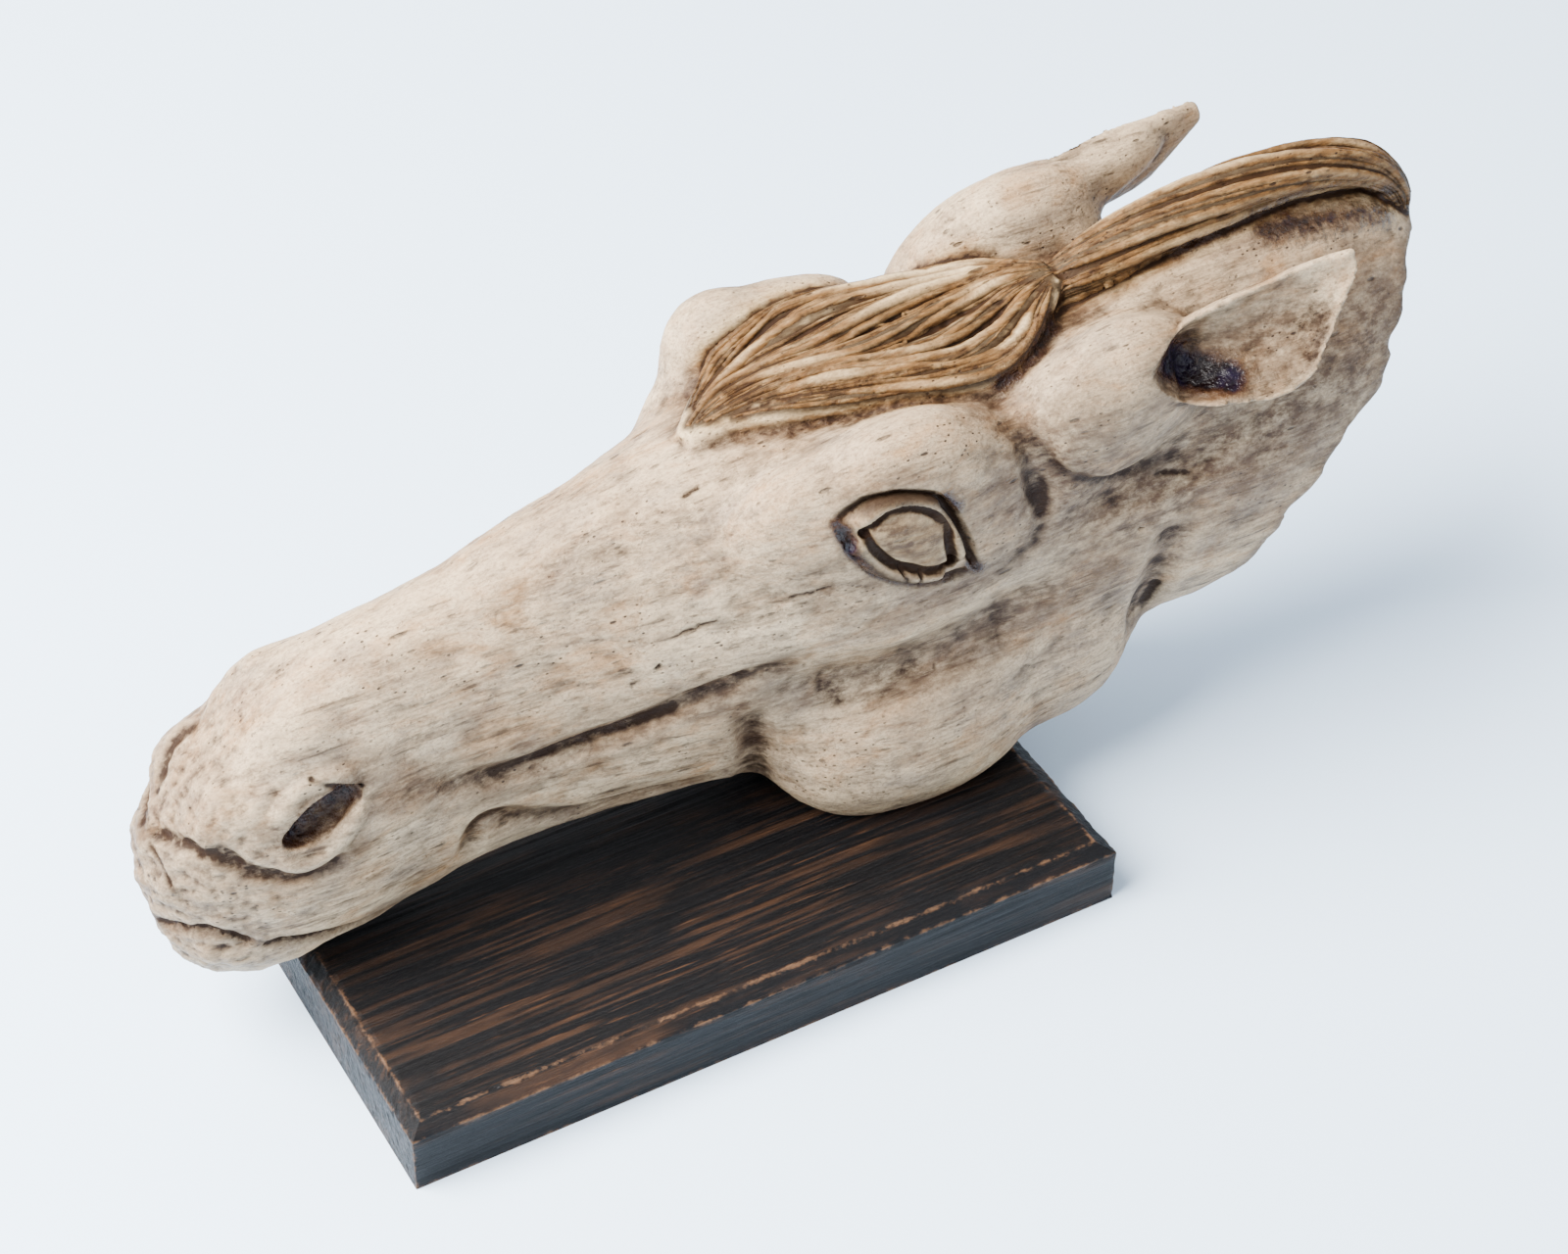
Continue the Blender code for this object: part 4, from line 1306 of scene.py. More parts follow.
@dataclass(frozen=True)
class WoodFinish:
    """Brushed board, stained almost black, with copper-brown grain, a painted blue-grey sheen and worn
    arrises.
    """

    stain: Colour = (0.0014, 0.0011, 0.0011)
    painted_sheen: Colour = (0.0036, 0.0038, 0.0050)
    copper: Colour = (0.10, 0.046, 0.021)
    bare: Colour = (0.12, 0.064, 0.034)
    dust: Colour = (0.13, 0.13, 0.14)
    speckle_tint: Colour = (0.07, 0.075, 0.09)
    shine: float = 0.13
    wear_width: float = 0.0017
    wear_sharpness: float = 900.0

    def edge_distance(self, s: Shader, half_size: Sequence[float], arrises: Points) -> object:
        """Add the distance to the board's nearest arris, worked out from its own coordinates.

        Args:
            s: The material's nodes.
            half_size: Half the board's length and width, in metres.
            arrises: Inset and height of the arrises along the board's sides, in metres.

        Returns:
            The output with the distance.
        """
        axes = s.node("ShaderNodeSeparateXYZ")
        s.join(s.object, axes.inputs[0])
        gaps = [
            s.math("SUBTRACT", half, s.math("ABSOLUTE", axis)) for half, axis in zip(half_size, axes.outputs)
        ]
        side = s.math("MINIMUM", *gaps)
        runs = [s.math("SQRT", self.squares(s, *gaps))]
        for inset, height in arrises:
            across = s.math("SUBTRACT", side, inset)
            upward = s.math("SUBTRACT", axes.outputs[2], height)
            runs.append(s.math("SQRT", self.squares(s, across, upward)))
        nearest = runs[0]
        for run in runs[1:]:
            nearest = s.math("MINIMUM", nearest, run)
        return nearest

    @staticmethod
    def squares(s: Shader, first: object, second: object) -> object:
        """Add the sum of two squares."""
        return s.math("ADD", s.math("MULTIPLY", first, first), s.math("MULTIPLY", second, second))

    def material(self, half_size: Sequence[float], arrises: Points) -> bpy.types.Material:
        """Build the material.

        Args:
            half_size: Half the board's length and width, in metres.
            arrises: Inset and height of the arrises along the board's sides, in metres.

        Returns:
            The material.
        """
        s = Shader("brushed_stained_wood")
        relief, end = s.read("relief"), s.read("end")
        fibres = s.grain((26, 900, 900), 6, 0.65, 5.0, 0.4)
        dashes = s.grain((44, 980, 980), 7, 0.66, 12.0, 0.4)
        patches = s.ramp(s.grain((12, 30, 30), 5, 0.6, 8.0, 0.4), ((0.40, 0.0), (0.66, 1.0)))
        thin = s.ramp(fibres, ((0.42, 0.0), (0.62, 1.0)))
        rubbed = s.math("MULTIPLY", s.ramp(dashes, ((0.565, 0.0), (0.66, 1.0))), thin)
        rubbed = s.math("MULTIPLY", rubbed, s.ramp(patches, ((0.0, 0.22), (1.0, 1.0))))
        raised = s.math("MULTIPLY", s.ramp(relief, ((0.45, 0.0), (0.85, 1.0))), patches)
        speckle = s.ramp(s.grain((900, 700, 700), 5, 0.7, 3.0), ((0.52, 0.0), (0.66, 1.0)))
        flecks = s.math("MULTIPLY", speckle, end)
        # Random blue-grey blotches over the black stain: painted sheen, a reflection of the pale room.
        colour = s.mix(s.grain((30, 60, 60), 4, 0.6, 17.0), self.stain, self.painted_sheen)
        coppery = s.math("ADD", rubbed, s.math("MULTIPLY", raised, 0.35))
        colour = s.mix(s.math("MULTIPLY", coppery, 0.85, True), colour, self.copper)
        colour = s.layers(colour, ((flecks, 0.35, self.speckle_tint),))
        ragged = s.ramp(s.grain((230, 260, 300), 7, 0.72, 21.0), ((0.36, 0.0), (0.66, 1.0)))
        reach = s.math("MULTIPLY", ragged, self.wear_width)
        worn = s.math("SUBTRACT", reach, self.edge_distance(s, half_size, arrises))
        worn = s.ramp(s.math("MULTIPLY", worn, self.wear_sharpness, True), ((0.0, 0.0), (0.8, 1.0)))
        worn = s.math("MULTIPLY", worn, s.ramp(fibres, ((0.35, 0.35), (0.55, 1.0))))
        colour = s.mix(s.math("MULTIPLY", worn, 0.75, True), colour, self.bare)
        powder = s.ramp(s.grain((60, 90, 90), 7, 0.75, 41.0), ((0.70, 0.0), (0.76, 1.0)))
        colour = s.layers(colour, ((powder, 0.35, self.dust),))
        s.join(colour, s.surface.inputs["Base Color"])
        s.join(s.ramp(fibres, ((0.3, 0.36), (0.7, 0.60))), s.surface.inputs["Roughness"])
        s.surface.inputs["Specular IOR Level"].default_value = self.shine
        under = s.bump(dashes, 0.0012, 0.45)
        s.join(s.bump(fibres, 0.0008, 0.6, under), s.surface.inputs["Normal"])
        return s.material


@dataclass
class HorseHead:
    """The hollow ceramic head, with its ears, eyes and mane."""

    form: HeadForm = field(default_factory=HeadForm)
    forelock: Forelock = field(default_factory=Forelock)
    crest: Crest = field(default_factory=Crest)
    ears: tuple[Ear, Ear] = field(default_factory=lambda: (Ear(1), Ear(-1)))
    finish: CeramicFinish = field(default_factory=CeramicFinish)
    blend_voxel: float = 3.5
    blend_times: int = 28
    skin_voxel: float = 1.15
    skin_times: int = 2
    hand_waves: tuple[Wave, ...] = (Wave(0.85, (34, 24, 24), 1.7, 2), Wave(0.30, (12, 7, 7), 6.1))
    muzzle_waves: tuple[Wave, ...] = (Wave(1.3, (9, 9, 9), 12.0, 2), Wave(0.8, (4, 4, 4), 3.0, 2))
    muzzle_reach: float = 46.0
    fine_regions: Points = ((247, 50, 124, 34), (50, 29, 78, 24))
    hole_depth: float = 1.6
    sink: float = 0.35
    touch_reach: float = 9.0
    hair_gap: float = 1.3
    cavity_depth: float = 0.20
    ridge_height: float = 0.26
    # Reaches of the painted shade in broad hollows and where the head meets the hair.
    hollow_shade_depth: float = 1.2
    contact_shade_reach: float = 1.6
    root_tint: float = 5.0
    rim_reach: float = 5.0
    muzzle_wash: float = 40.0
    paired_lumps: tuple[Lump, ...] = (
        Lump((264, 33, 121), (38, 18, 33)),
        Lump((230, 31, 126), (39, 15, 27), -13.0),
        Lump((58, 12, 96), (26, 12, 19)),
        Lump((281, 21, 52), (71, 27, 55)),
        Lump((264, 27, 30), (56, 28, 43)),
        Lump((316, 25, 36), (38, 24, 36)),
        Lump((50, 19, 78), (22, 12, 15)),
        Lump((28, 14, 76), (16, 13, 17)),
    )
    nostril: Lump = Lump((52, 29.5, 77.5), (15, 8.5, 7.4), 25.0)
    near_lumps: tuple[Lump, ...] = (Lump((251, 34, 133), (40, 18, 28)),)
    far_lumps: tuple[Lump, ...] = (
        Lump((247, 35, 139), (38, 18, 32)),
        Lump((225, 37, 153), (22, 14, 20)),
        Lump((362, 41, 168), (42, 11, 14), 10.0),
    )
    middle_lumps: tuple[Lump, ...] = (
        Lump((36, 0, 15), (28, 20, 15)),
        Lump((16, 0, 54), (14, 18, 22)),
    )
    broad_strokes: tuple[Stroke, ...] = (
        Stroke(((240, 48, 96), (200, 40, 95), (150, 32, 90)), 20, 2.2, taper=40),
        Stroke(((312, 44, 74), (265, 45, 68), (236, 43, 66), (196, 38, 72)), 18, -5.0, taper=26),
        Stroke(((216, 41, 84), (188, 36, 78), (157, 30, 69), (137, 27, 67), (117, 26, 65), (84, 27, 72)), 8,
               -4.0, taper=26),
        Stroke(((205, 26, 31), (180, 24, 27), (146, 21, 30), (129, 21, 36), (111, 24, 45), (104, 24, 42),
                (101, 19, 26)), 7, -2.8, taper=10),
        Stroke(((196, 36, 64), (200, 33, 48), (204, 26, 31), (208, 22, 16)), 9, -3.8, taper=8),
        Stroke(((290, 36, 152), (299, 41, 134), (299, 43, 106)), 12, -3.6, taper=14),
        Stroke(((356, 42, 88), (351, 38, 55), (346, 33, 34)), 12, -5.5, taper=8),
        Stroke(((305, 44, 104), (340, 44, 108), (380, 44, 112)), 14, -3.0, taper=24),
    )
    mouth_strokes: tuple[Stroke, ...] = (
        Stroke(((3, 4, 35), (10, 16, 37), (18, 21, 36), (29, 20, 29), (38, 22, 26), (54, 22, 21),
                (68, 20, 16), (84, 19, 14)), 4.5, -3.2, taper=8),
        Stroke(((3, 4, 35), (10, 16, 37), (18, 21, 36), (29, 20, 29), (38, 22, 26), (54, 22, 21)), 1.8, -1.6,
               Tool.WIRE, taper=8),
        Stroke(((6, 8, 25), (16, 19, 24), (32, 22, 17), (52, 21, 11)), 6, 1.6, taper=10),
        Stroke(((18, 22, 77), (22, 24, 71), (28, 25, 64), (36, 27, 60), (47, 28, 57), (55, 29, 58),
                (60, 30, 61)), 5.5, -3.0, taper=6),
        Stroke(((4, 1, 70), (10, 11, 73), (14, 19, 73), (20, 23, 69)), 4, -2.0, taper=5),
        Stroke(((37, 27, 79), (45, 27, 89), (58, 27, 91), (68, 28, 87)), 5, 1.8, taper=6),
        Stroke(((35, 29, 68), (44, 30, 62), (56, 30, 67), (67, 29, 80)), 4.5, 1.6, taper=6),
        Stroke(((51, 26, 92), (54, 27, 90), (59, 28, 87), (66, 28, 84)), 1.5, -1.4, Tool.WIRE),
        Stroke(((12, 6, 80), (17, 10, 86), (23, 12, 92), (30, 10, 99)), 4, -1.5, side=Side.FAR, taper=5),
    )
    eye_strokes: tuple[Stroke, ...] = (
        Stroke(((236, 50, 132), (246, 50, 126), (256, 50, 118)), 12, 2.8, reach=Reach.SIDEWAYS),
        Stroke(((222, 48, 138), (225, 49, 140), (229, 50, 142), (235, 51, 144), (245, 52, 143),
                (257, 52, 137),
                (266, 51, 120), (274, 48, 100)), 2.6, -3.3, Tool.WIRE, reach=Reach.SIDEWAYS, taper=7),
        Stroke(((225, 49, 136), (228, 48, 125), (238, 48, 113), (250, 49, 105), (261, 49, 102),
                (271, 49, 101)), 2.8, -2.8, Tool.WIRE, reach=Reach.SIDEWAYS, taper=5),
        Stroke(((227, 49, 131), (231, 48, 122), (240, 48, 114), (250, 49, 109), (262, 49, 106)), 3.9, 3.3,
               reach=Reach.SIDEWAYS, taper=4),
        Stroke(((228, 50, 137), (236, 51, 141), (246, 52, 140), (255, 52, 135), (262, 51, 121),
                (267, 50, 109)), 2.9, 2.6, reach=Reach.SIDEWAYS, taper=4),
        Stroke(((230, 50, 134), (234, 51, 138), (240, 52, 140), (250, 52, 137), (258, 51, 129),
                (260, 51, 118), (264, 50, 108)), 2.0, -2.6, Tool.WIRE, reach=Reach.SIDEWAYS),
        Stroke(((230, 50, 134), (234, 49, 126), (240, 49, 118), (246, 49, 114), (253, 49, 110),
                (264, 50, 108)), 2.0, -2.4, Tool.WIRE, reach=Reach.SIDEWAYS),
        Stroke(((257, 52, 137), (263, 51, 126), (267, 51, 115), (274, 48, 101)), 1.5, -1.4, Tool.WIRE,
               reach=Reach.SIDEWAYS),
        Stroke(((244, 49, 114), (246, 49, 108)), 1.1, -1.2, Tool.WIRE, reach=Reach.SIDEWAYS),
        Stroke(((251, 49, 110), (250, 49, 106)), 1.0, -1.0, Tool.WIRE, reach=Reach.SIDEWAYS),
    )
    crease_strokes: tuple[Stroke, ...] = (
        Stroke(((112, 24, 65), (141, 26, 66.5), (156, 28, 68), (172, 31, 71.5)), 2.6, -2.6, Tool.WIRE,
               taper=22),
        Stroke(((287, 36, 153), (292, 43, 143), (295, 46, 130), (300, 43, 112), (296, 44, 100),
                (285, 47, 96)), 6, -1.7, taper=16),
        Stroke(((293, 40, 148), (296, 45, 140), (302, 47, 129), (311, 48, 122), (330, 43, 113),
                (352, 42, 111)), 5, -2.0, taper=16),
        Stroke(((355, 37, 52), (353, 31, 38)), 3, -1.6, Tool.WIRE),
        Stroke(((222, 45, 112), (208, 42, 110.5), (194, 39, 108)), 0.9, -0.9, Tool.WIRE, taper=3),
        Stroke(((216, 44, 108), (204, 42, 107), (198, 40, 105)), 0.8, -0.8, Tool.WIRE, taper=3),
        Stroke(((186, 37, 107), (179, 35, 106), (172, 34, 104.5)), 0.8, -0.8, Tool.WIRE, taper=3),
        Stroke(((166, 34, 94), (160, 32, 91), (156, 32, 88)), 0.7, -0.7, Tool.WIRE, taper=3),
        Stroke(((184, 17, 143.4), (189, 17, 145.2)), 0.9, -0.9, Tool.WIRE),
        Stroke(((241, 35, 18), (249, 39, 20)), 0.8, -0.8, Tool.WIRE),
        Stroke(((347, 41, 106), (353, 42, 105), (360, 43, 102.5)), 1.2, -1.4, Tool.WIRE, taper=3),
        Stroke(((4.6, 4, 68), (4.7, 9, 65), (5.3, 13, 61), (7.2, 16, 55)), 1.2, -1.3, Tool.WIRE, Side.NEAR,
               taper=3),
    )
    holes: Points = (
        (165.8, 33.6, 94.0, 1.7), (214.8, 39.8, 78.2, 1.3), (19.9, 23.3, 69.3, 1.8), (300, 46, 90, 1.0),
        (120, 26, 88, 0.9), (262, 44, 60, 1.0), (78, 22, 108, 0.9), (232, 44, 88, 1.1), (340, 45, 88, 1.0),
    )
    # Umber strokes: the brown wash and eye colour of the glaze, and painted shade on the neck behind the ear,
    # in the ear cup and in the hollows below the eye and along the jaw.
    umber_washes_and_shades: tuple[Stroke, ...] = (
        Stroke(((237, 49, 130), (246, 49, 125), (255, 49, 118)), 12, 0.85, reach=Reach.SIDEWAYS),
        Stroke(((224, 47, 134), (230, 47, 118), (250, 48, 104), (268, 48, 100)), 8, 0.7,
               reach=Reach.SIDEWAYS),
        Stroke(((226, 49, 144), (244, 51, 147), (262, 51, 138), (274, 49, 112)), 8, 0.6,
               reach=Reach.SIDEWAYS),
        Stroke(((78, 25, 76), (117, 26, 65), (157, 30, 69), (205, 40, 80)), 15, 0.95),
        Stroke(((40, 26, 74), (52, 28, 78), (64, 28, 86)), 17, 0.85),
        Stroke(((14, 20, 74), (28, 25, 63), (47, 28, 57), (64, 30, 62)), 9, 0.8),
        Stroke(((208, 22, 18), (204, 26, 32), (200, 33, 48), (194, 38, 66)), 14, 0.95),
        Stroke(((204, 26, 31), (180, 24, 27), (146, 21, 30), (111, 24, 45)), 10, 0.7),
        Stroke(((216, 44, 116), (232, 46, 100), (260, 48, 96), (296, 46, 96)), 15, 0.65),
        Stroke(((349, 40, 150), (362, 46, 148), (388, 50, 154)), 24, 1.0),
        Stroke(((284, 34, 153), (293, 43, 143), (299, 43, 120), (294, 45, 100)), 13, 0.85),
        Stroke(((302, 46, 129), (322, 46, 110), (356, 43, 104), (400, 46, 116), (436, 38, 130)), 44, 1.0),
        Stroke(((330, 44, 80), (265, 45, 62), (210, 40, 66)), 20, 0.75),
        Stroke(((3, 4, 35), (18, 21, 36), (38, 22, 26), (84, 19, 14)), 7, 0.9),
        Stroke(((356, 42, 88), (351, 38, 55), (346, 33, 34)), 14, 0.7),
        Stroke(((230, 22, 140), (262, 22, 146), (300, 22, 154)), 9, 0.7, side=Side.NEAR),
        Stroke(((196, 8, 148), (212, 24, 150), (236, 32, 156)), 10, 0.7, side=Side.FAR),
    )
    glaze_pools: tuple[Stroke, ...] = (
        Stroke(((348, 37, 150), (353, 37, 146), (359, 41, 143), (367, 47, 142)), 13, 0.95),
        Stroke(((44, 24, 73), (52, 25, 77), (60, 24, 82)), 11, 0.70),
        Stroke(((222, 47, 138), (225, 47, 131), (229, 47, 124)), 5.0, 0.8),
        Stroke(((229, 47, 122), (239, 47, 112), (250, 48, 105), (264, 48, 101)), 3.6, 0.62),
        Stroke(((258, 51, 138), (264, 51, 132)), 4, 0.7),
        Stroke(((270, 49, 104), (275, 48, 100)), 4, 0.7),
        Stroke(((320, -14, 161), (308, -20, 157), (294, -24, 153)), 7, 0.72, side=Side.AS_DRAWN),
        Stroke(((226, 23, 155), (212, 16, 151), (203, 9, 150)), 5, 0.7, side=Side.AS_DRAWN),
        Stroke(((371, -9, 168), (410, -9, 171), (432, -10, 171)), 5, 0.55, side=Side.AS_DRAWN),
        Stroke(((404, -12, 165), (432, -14, 164), (456, -12, 158)), 10, 0.6, side=Side.AS_DRAWN),
        Stroke(((141, 26, 66.5), (156, 28, 68)), 4, 0.45),
    )

    def shell(self) -> Clay:
        """Work the head's clay and hollow it.

        Returns:
            The head without its fine hair, in drawn units.
        """
        bodies = [self.form.skull()]
        bodies += [lump.body(side) for lump in self.paired_lumps for side in (1, -1)]
        bodies += [lump.body() for lump in self.middle_lumps]
        bodies += [ear.root_body() for ear in self.ears]
        bodies += [lump.body(-1) for lump in self.near_lumps] + [lump.body(1) for lump in self.far_lumps]
        skull = Clay("skull", bodies)
        skull.even_out(self.blend_voxel, self.blend_times)
        bodies = [(skull.places(), skull.faces())]
        bpy.data.objects.remove(skull.thing)
        bodies += [*self.forelock.bodies(), *self.crest.bodies()]
        bodies += [ear.cup() for ear in self.ears]
        head = Clay("head_shell", bodies)
        head.even_out(self.skin_voxel, self.skin_times)
        for ear in self.ears:
            head.take_away("ear_cup", ear.mouth_space())
        for side in (1, -1):
            head.take_away("nostril", self.nostril.body(side))
        head.smooth(self.skin_times)
        head.work(self.broad_strokes)
        places = head.places()
        rugged = np.clip(1.1 - places[:, 0] / self.muzzle_reach, 0, 1)
        hand = waves_at(places, self.hand_waves) + rugged * waves_at(places, self.muzzle_waves)
        head.move_to(places + head.normals() * hand[:, None])
        for *centre, radius in self.fine_regions:
            head.refine(centre, radius)
        for stroke_set in (self.mouth_strokes, self.eye_strokes, self.crease_strokes):
            head.work(stroke_set)
        head.work(
            Stroke(((x, y, z), (x + 0.3, y, z)), size, -self.hole_depth * size)
            for x, y, z, size in self.holes
        )
        head.take_away("hollow", self.form.hollow())
        head.take_away("torn_end", self.form.torn_block())
        return head

    def tone(self, clay: Clay, beside: Sequence[Clay], hair: bool) -> None:
        """Keep the numbers that the finish reads on a piece.

        Args:
            clay: The piece, in drawn units.
            beside: The pieces that it touches.
            hair: Whether the piece is all hair.
        """
        places, facing = clay.places(), clay.normals()
        gap = np.minimum.reduce([distance_to_body(places, other, self.touch_reach) for other in beside])
        stain, glaze = np.zeros(len(places)), np.zeros(len(places))
        near = np.einsum("ij,ij->i", clay.neighbours_mean(places, 4) - places, facing)
        wide = np.einsum("ij,ij->i", clay.neighbours_mean(places, 40) - places, facing)
        if hair:
            # Hair darkens where it lies on the head: painted contact shade.
            cavity = np.clip(1.3 - gap / self.hair_gap, 0, 1)
            ridge = np.clip(gap / self.hair_gap - 0.8, 0, 1)
            umber_wash_and_shade, tint = np.zeros(len(places)), np.ones(len(places))
        else:
            cavity, ridge = np.clip(near / self.cavity_depth, 0, 1), np.clip(-near / self.ridge_height, 0, 1)
            # Broad hollows get the umber layer as painted shade.
            umber_wash_and_shade = np.clip(wide / self.hollow_shade_depth, 0, 1)
            # Where the head meets the hair: painted contact shade.
            stain = 0.98 * np.clip(1.5 - gap / self.contact_shade_reach, 0, 1)
            tint = np.clip(1.4 - gap / self.root_tint, 0, 1)
        # Creases get near-black lines: the stain in the real grooves, and painted shade where the creases are
        # broad.
        for stroke in (*self.mouth_strokes, *self.eye_strokes, *self.crease_strokes):
            if stroke.height < 0:
                wider = Stroke(stroke.path, stroke.radius + 0.9, 1.0, Tool.THUMB, stroke.side, stroke.reach)
                found, weight = wider.weight(places)
                strength = min(1.0, 0.38 - 0.34 * stroke.height) * min(1.0, (2.8 / stroke.radius) ** 1.5)
                stain[found] = np.maximum(stain[found], weight * strength)
        found, weight = self.eye_strokes[0].weight(places)
        umber_wash_and_shade[found] = np.maximum(umber_wash_and_shade[found], weight**0.4)
        tint[found] = np.maximum(tint[found], weight**0.5)
        umber_wash_and_shade = np.maximum(umber_wash_and_shade, 0.7 * np.clip(1.1 - places[:, 0] / self.muzzle_wash, 0, 1))
        # Umber wash strokes: partly brown wash, partly painted shade.
        for stroke in self.umber_washes_and_shades:
            found, weight = stroke.weight(places)
            umber_wash_and_shade[found] = np.maximum(umber_wash_and_shade[found], weight**0.7 * stroke.height)
        for pool in self.glaze_pools:
            found, weight = pool.weight(places)
            glaze[found] = np.maximum(glaze[found], weight * pool.height)
        torn = np.abs(places[:, 0] - self.form.torn_surface(places[:, 1], places[:, 2]))
        layers = {
            "cavity": cavity, "ridge": ridge, "umber_wash_and_shade": umber_wash_and_shade, "hair": tint, "stain": stain, "glaze": glaze,
            "rim": np.clip(1.5 - torn / self.rim_reach, 0, 1),
        }
        for name, values in layers.items():
            clay.store(name, values)

    def place(self, clay: Clay, material: bpy.types.Material) -> None:
        """Put a piece in its place on the board, dress it and let it ride.

        Args:
            clay: The piece, in drawn units.
            material: Its material.
        """
        places = clay.places()
        places[:, 2] = np.maximum(places[:, 2], 0.0)
        clay.move_to(places * UNIT + np.array(HEAD_PLACE))
        clay.thing.data.shade_smooth()
        clay.thing.data.materials.clear()
        clay.thing.data.materials.append(material)
        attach(clay.thing, "root")
        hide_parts("horse_head")
        LOG.info("%s: %d faces", clay.thing.name, len(clay.thing.data.polygons))

    def build(self) -> None:
        """Build the head's pieces."""
        material = self.finish.material()
        shell = self.shell()
        hair = [
            Strands(name + "_guides", *lock.strands()).roll(name, shell.thing, material, self.sink)
            for name, lock in (("forelock_hair", self.forelock), ("crest_hair", self.crest))
        ]
        shell.thin_out(PIECE_FACES)
        self.tone(shell, hair, False)
        for piece in hair:
            self.tone(piece, [shell], True)
        for piece in (shell, *hair):
            self.place(piece, material)


@dataclass
class Board:
    """The bevelled board that the head lies on, in millimetres."""

    length: float = 260.0
    width: float = 190.0
    height: float = 25.0
    bevel_drop: float = 3.2
    bevel_run: float = 5.5
    steps: tuple[int, int, int] = (120, 150, 15)
    bevel_steps: int = 4
    grain_depth: float = 0.30
    grain: Wave = Wave(1.0, (75, 1.9, 1.9), 2.0)
    chips: Wave = Wave(1.0, (11, 9, 4), 5.0, 4)
    wear_depth: float = 0.5
    wear_reach: tuple[float, float] = (1.4, 1.2)
    finish: WoodFinish = field(default_factory=WoodFinish)

    def skin(self) -> Body:
        """Make the board's surface as one grid that wraps round it."""
        corners = []
        for axis in range(3):
            a, b = (other for other in range(3) if other != axis)
            grids = np.meshgrid(np.arange(self.steps[a]), np.arange(self.steps[b]))
            i, j = (grid.ravel() for grid in grids)
            for end in (0, self.steps[axis]):
                quad = np.zeros((len(i), 4, 3), dtype=int)
                quad[:, :, axis] = end
                for corner, (da, db) in enumerate(((0, 0), (1, 0), (1, 1), (0, 1))):
                    quad[:, corner, a], quad[:, corner, b] = i + da, j + db
                corners.append(quad)
        nodes, numbers = np.unique(np.vstack(corners).reshape(-1, 3), axis=0, return_inverse=True)
        faces = [tuple(face) for face in numbers.reshape(-1, 4).tolist()]
        level = nodes[:, 2] - (self.steps[2] - self.bevel_steps)
        rise = np.clip(level / self.bevel_steps, 0, 1)
        shoulder = self.height - self.bevel_drop
        inset = rise * self.bevel_run
        flat = shoulder * np.clip(nodes[:, 2] / (self.steps[2] - self.bevel_steps), 0, 1)
        x, y = (2 * nodes[:, axis] / self.steps[axis] - 1 for axis in (0, 1))
        return np.column_stack((
            x * (self.length / 2 - inset), y * (self.width / 2 - inset), flat + rise * self.bevel_drop,
        )), faces

    def edge_distance(self, places: np.ndarray) -> np.ndarray:
        """Return how far each place is from the board's nearest arris.

        Args:
            places: The board's points, in millimetres.

        Returns:
            The distances.
        """
        dx, dy = self.length / 2 - np.abs(places[:, 0]), self.width / 2 - np.abs(places[:, 1])
        side, z = np.minimum(dx, dy), places[:, 2]
        return np.minimum.reduce([
            np.hypot(side, z - self.height + self.bevel_drop),
            np.hypot(side - self.bevel_run, z - self.height), np.hypot(side, z), np.hypot(dx, dy),
        ])

    def build(self) -> None:
        """Build the board with its brushed grain and worn arrises."""
        board = Clay("board_wood", [self.skin()])
        places, facing = board.places(), board.normals()
        grain, chips = waves_at(places, [self.grain]), waves_at(places, [self.chips])
        steady, ragged = self.wear_reach
        wear = np.clip(1 - self.edge_distance(places) / (steady + ragged * chips), 0, 1)
        wear = wear * np.clip(0.4 + chips, 0, 1)
        inward = self.grain_depth * np.clip(0.4 - grain, 0, 1.3) + self.wear_depth * wear
        inward[facing[:, 2] < -0.5] = 0.0
        places -= facing * inward[:, None]
        board.store("relief", np.clip(0.5 + grain, 0, 1))
        board.store("end", (np.abs(facing[:, 0]) > 0.7).astype(float))
        board.move_to(places * UNIT)
        half_size = (self.length / 2 * UNIT, self.width / 2 * UNIT)
        shoulder, top = (self.height - self.bevel_drop) * UNIT, self.height * UNIT
        arrises = ((0.0, 0.0), (0.0, shoulder), (self.bevel_run * UNIT, top))
        board.thing.data.materials.append(self.finish.material(half_size, arrises))
        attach(board.thing, "root")
        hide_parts("plinth")
        LOG.info("board_wood: %d faces", len(board.thing.data.polygons))


@dataclass(frozen=True)
class Lamp:
    """A soft round light: where it stands, how wide it is, its power in watts and its colour."""

    name: str
    place: tuple[float, float, float]
    size: float
    power: float
    colour: Colour


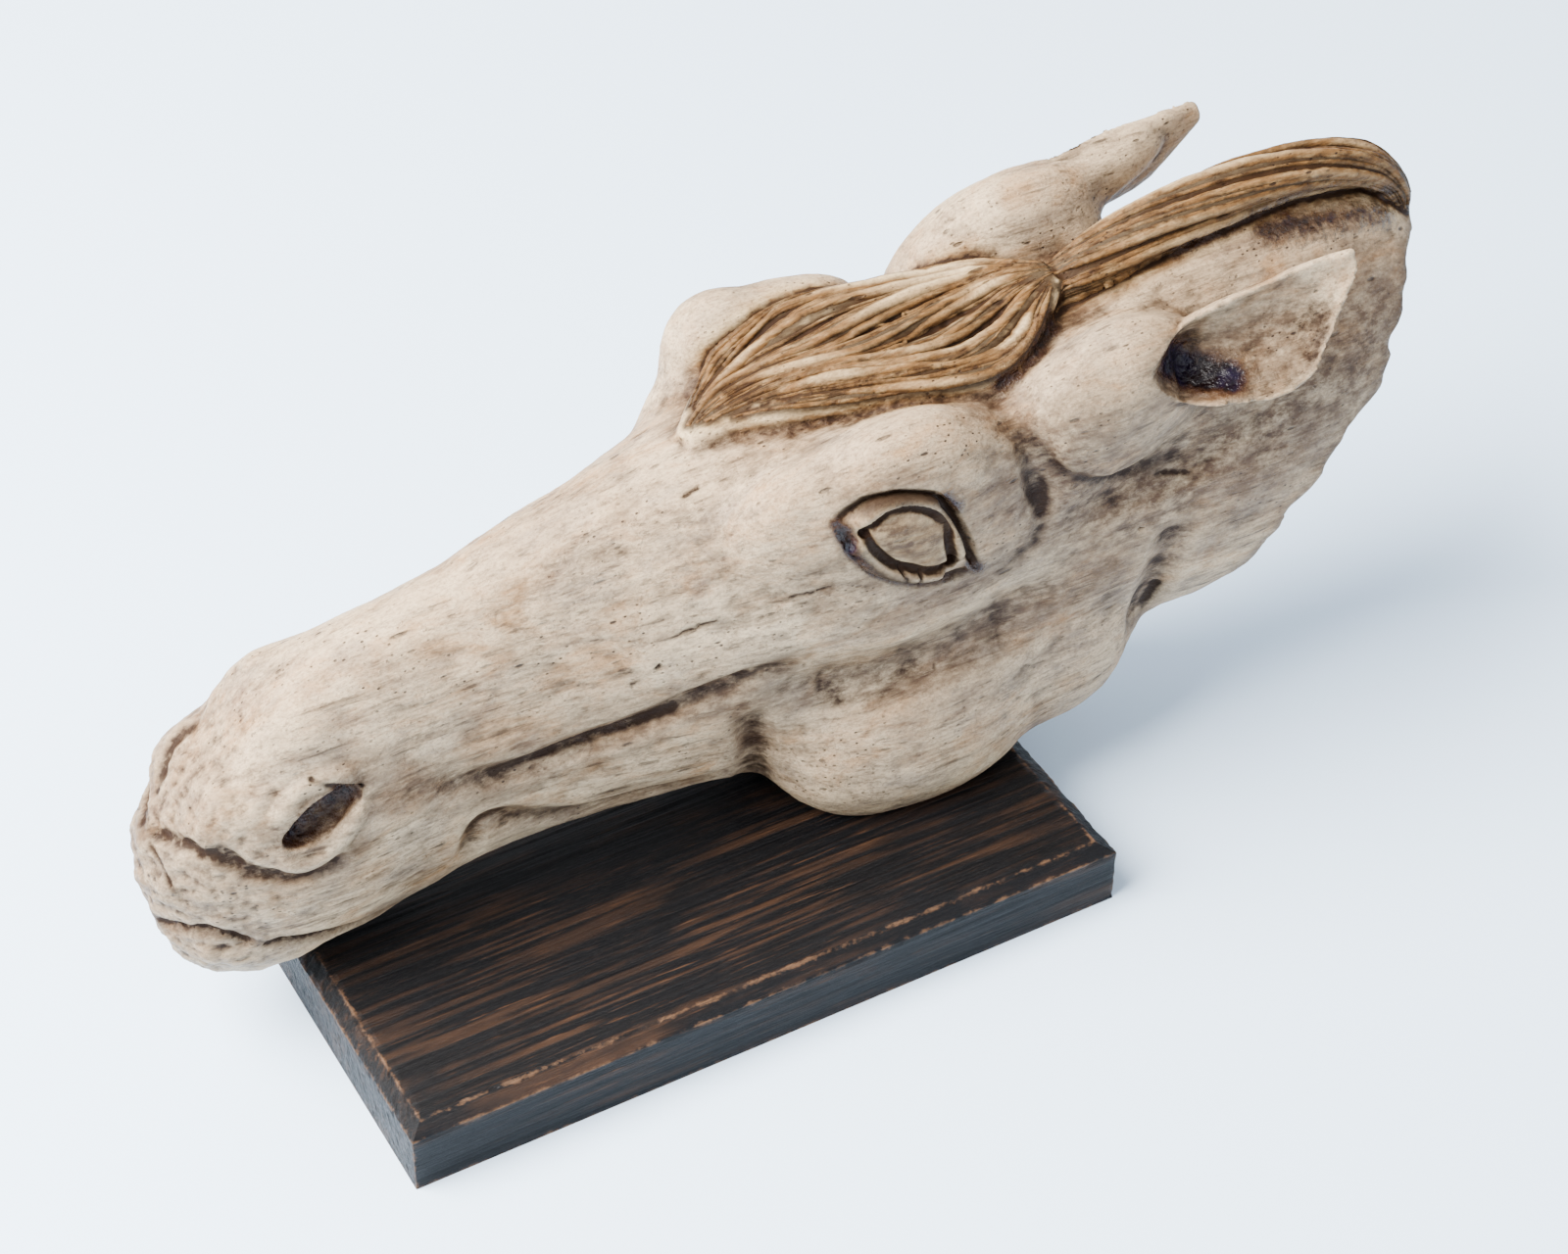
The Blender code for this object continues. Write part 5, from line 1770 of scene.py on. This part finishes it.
@dataclass
class Studio:
    """Pale floor, soft light and the camera."""

    lens: float = 78.3
    location: tuple[float, float, float] = (-0.37024944, -0.73540991, 0.84088114)
    azimuth: float = 30.0
    pitch: float = 41.8
    roll: float = 0.8
    floor_size: float = 6.0
    floor_colour: Colour = (0.62, 0.80, 1.0)
    floor_light: Colour = (0.68, 0.83, 1.0)
    floor_roughness: float = 0.9
    aim: tuple[float, float, float] = (0.05, 0.0, 0.1)
    lamps: tuple[Lamp, ...] = (
        Lamp("key", (-1.05, 0.15, 1.35), 1.5, 225.0, (1.0, 0.97, 0.93)),
        Lamp("fill", (0.2, -1.5, 0.8), 1.6, 9.0, (0.95, 0.96, 1.0)),
        Lamp("rim", (-0.4, 1.3, 1.3), 1.6, 24.0, (0.94, 0.96, 1.0)),
    )
    world_colour: Colour = (0.85, 0.91, 1.0)
    world_strength: float = 1.05
    sensor: float = 36.0
    clip: tuple[float, float] = (0.05, 20.0)

    def camera(self) -> None:
        """Set the camera up at the photograph's angle."""
        a, p, r = (math.radians(v) for v in (self.azimuth, self.pitch, self.roll))
        ahead = np.array([math.sin(a) * math.cos(p), math.cos(a) * math.cos(p), -math.sin(p)])
        right = np.array([math.cos(a), -math.sin(a), 0.0])
        above = np.cross(right, ahead)
        turned_right = math.cos(r) * right + math.sin(r) * above
        turned_above = -math.sin(r) * right + math.cos(r) * above
        data = bpy.data.cameras.new("camera")
        data.lens = self.lens
        data.sensor_width = self.sensor
        data.clip_start, data.clip_end = self.clip
        camera = bpy.data.objects.new("camera", data)
        matrix = Matrix.Identity(4)
        for column, axis in enumerate((turned_right, turned_above, -ahead, np.array(self.location))):
            for row in range(3):
                matrix[row][column] = axis[row]
        camera.matrix_world = matrix
        bpy.context.scene.collection.objects.link(camera)
        bpy.context.scene.camera = camera

    def floor(self) -> None:
        """Lay the floor."""
        half = self.floor_size / 2
        mesh = bpy.data.meshes.new("floor")
        corners = [(-half, -half, 0), (half, -half, 0), (half, half, 0), (-half, half, 0)]
        mesh.from_pydata(corners, [], [(0, 1, 2, 3)])
        floor = bpy.data.objects.new("floor", mesh)
        bpy.context.scene.collection.objects.link(floor)
        s = Shader("pale_backdrop")
        s.join(s.mix(s.grain((2, 2, 2), 2, 0.5), self.floor_colour, self.floor_light),
               s.surface.inputs["Base Color"])
        s.surface.inputs["Roughness"].default_value = self.floor_roughness
        mesh.materials.append(s.material)

    def light(self, lamp: Lamp) -> None:
        """Add one soft light that faces the head.

        Args:
            lamp: The light.
        """
        data = bpy.data.lights.new(lamp.name, "AREA")
        data.shape = "DISK"
        data.size = lamp.size
        data.energy = lamp.power
        data.color = lamp.colour
        thing = bpy.data.objects.new(lamp.name, data)
        thing.location = lamp.place
        aim = -np.array(lamp.place) + np.array(self.aim)
        from_z = np.array([0.0, 0.0, -1.0])
        axis = np.cross(from_z, aim / np.linalg.norm(aim))
        angle = math.acos(float(np.clip(from_z @ aim / np.linalg.norm(aim), -1, 1)))
        thing.rotation_mode = "AXIS_ANGLE"
        thing.rotation_axis_angle = (angle, *(axis / np.linalg.norm(axis)))
        bpy.context.scene.collection.objects.link(thing)

    def build(self) -> None:
        """Set the studio up."""
        self.camera()
        self.floor()
        for lamp in self.lamps:
            self.light(lamp)
        world = bpy.data.worlds.new("soft_room")
        world.use_nodes = True
        background = world.node_tree.nodes["Background"]
        background.inputs["Color"].default_value = (*self.world_colour, 1.0)
        background.inputs["Strength"].default_value = self.world_strength
        bpy.context.scene.world = world


def main() -> None:
    """Build the studio, the head and the board, and log each piece's name and face count."""
    logging.basicConfig(level=logging.INFO, format="%(name)s: %(message)s", force=True)
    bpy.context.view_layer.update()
    Studio().build()
    HorseHead().build()
    Board().build()


if __name__ == "__main__":
    main()
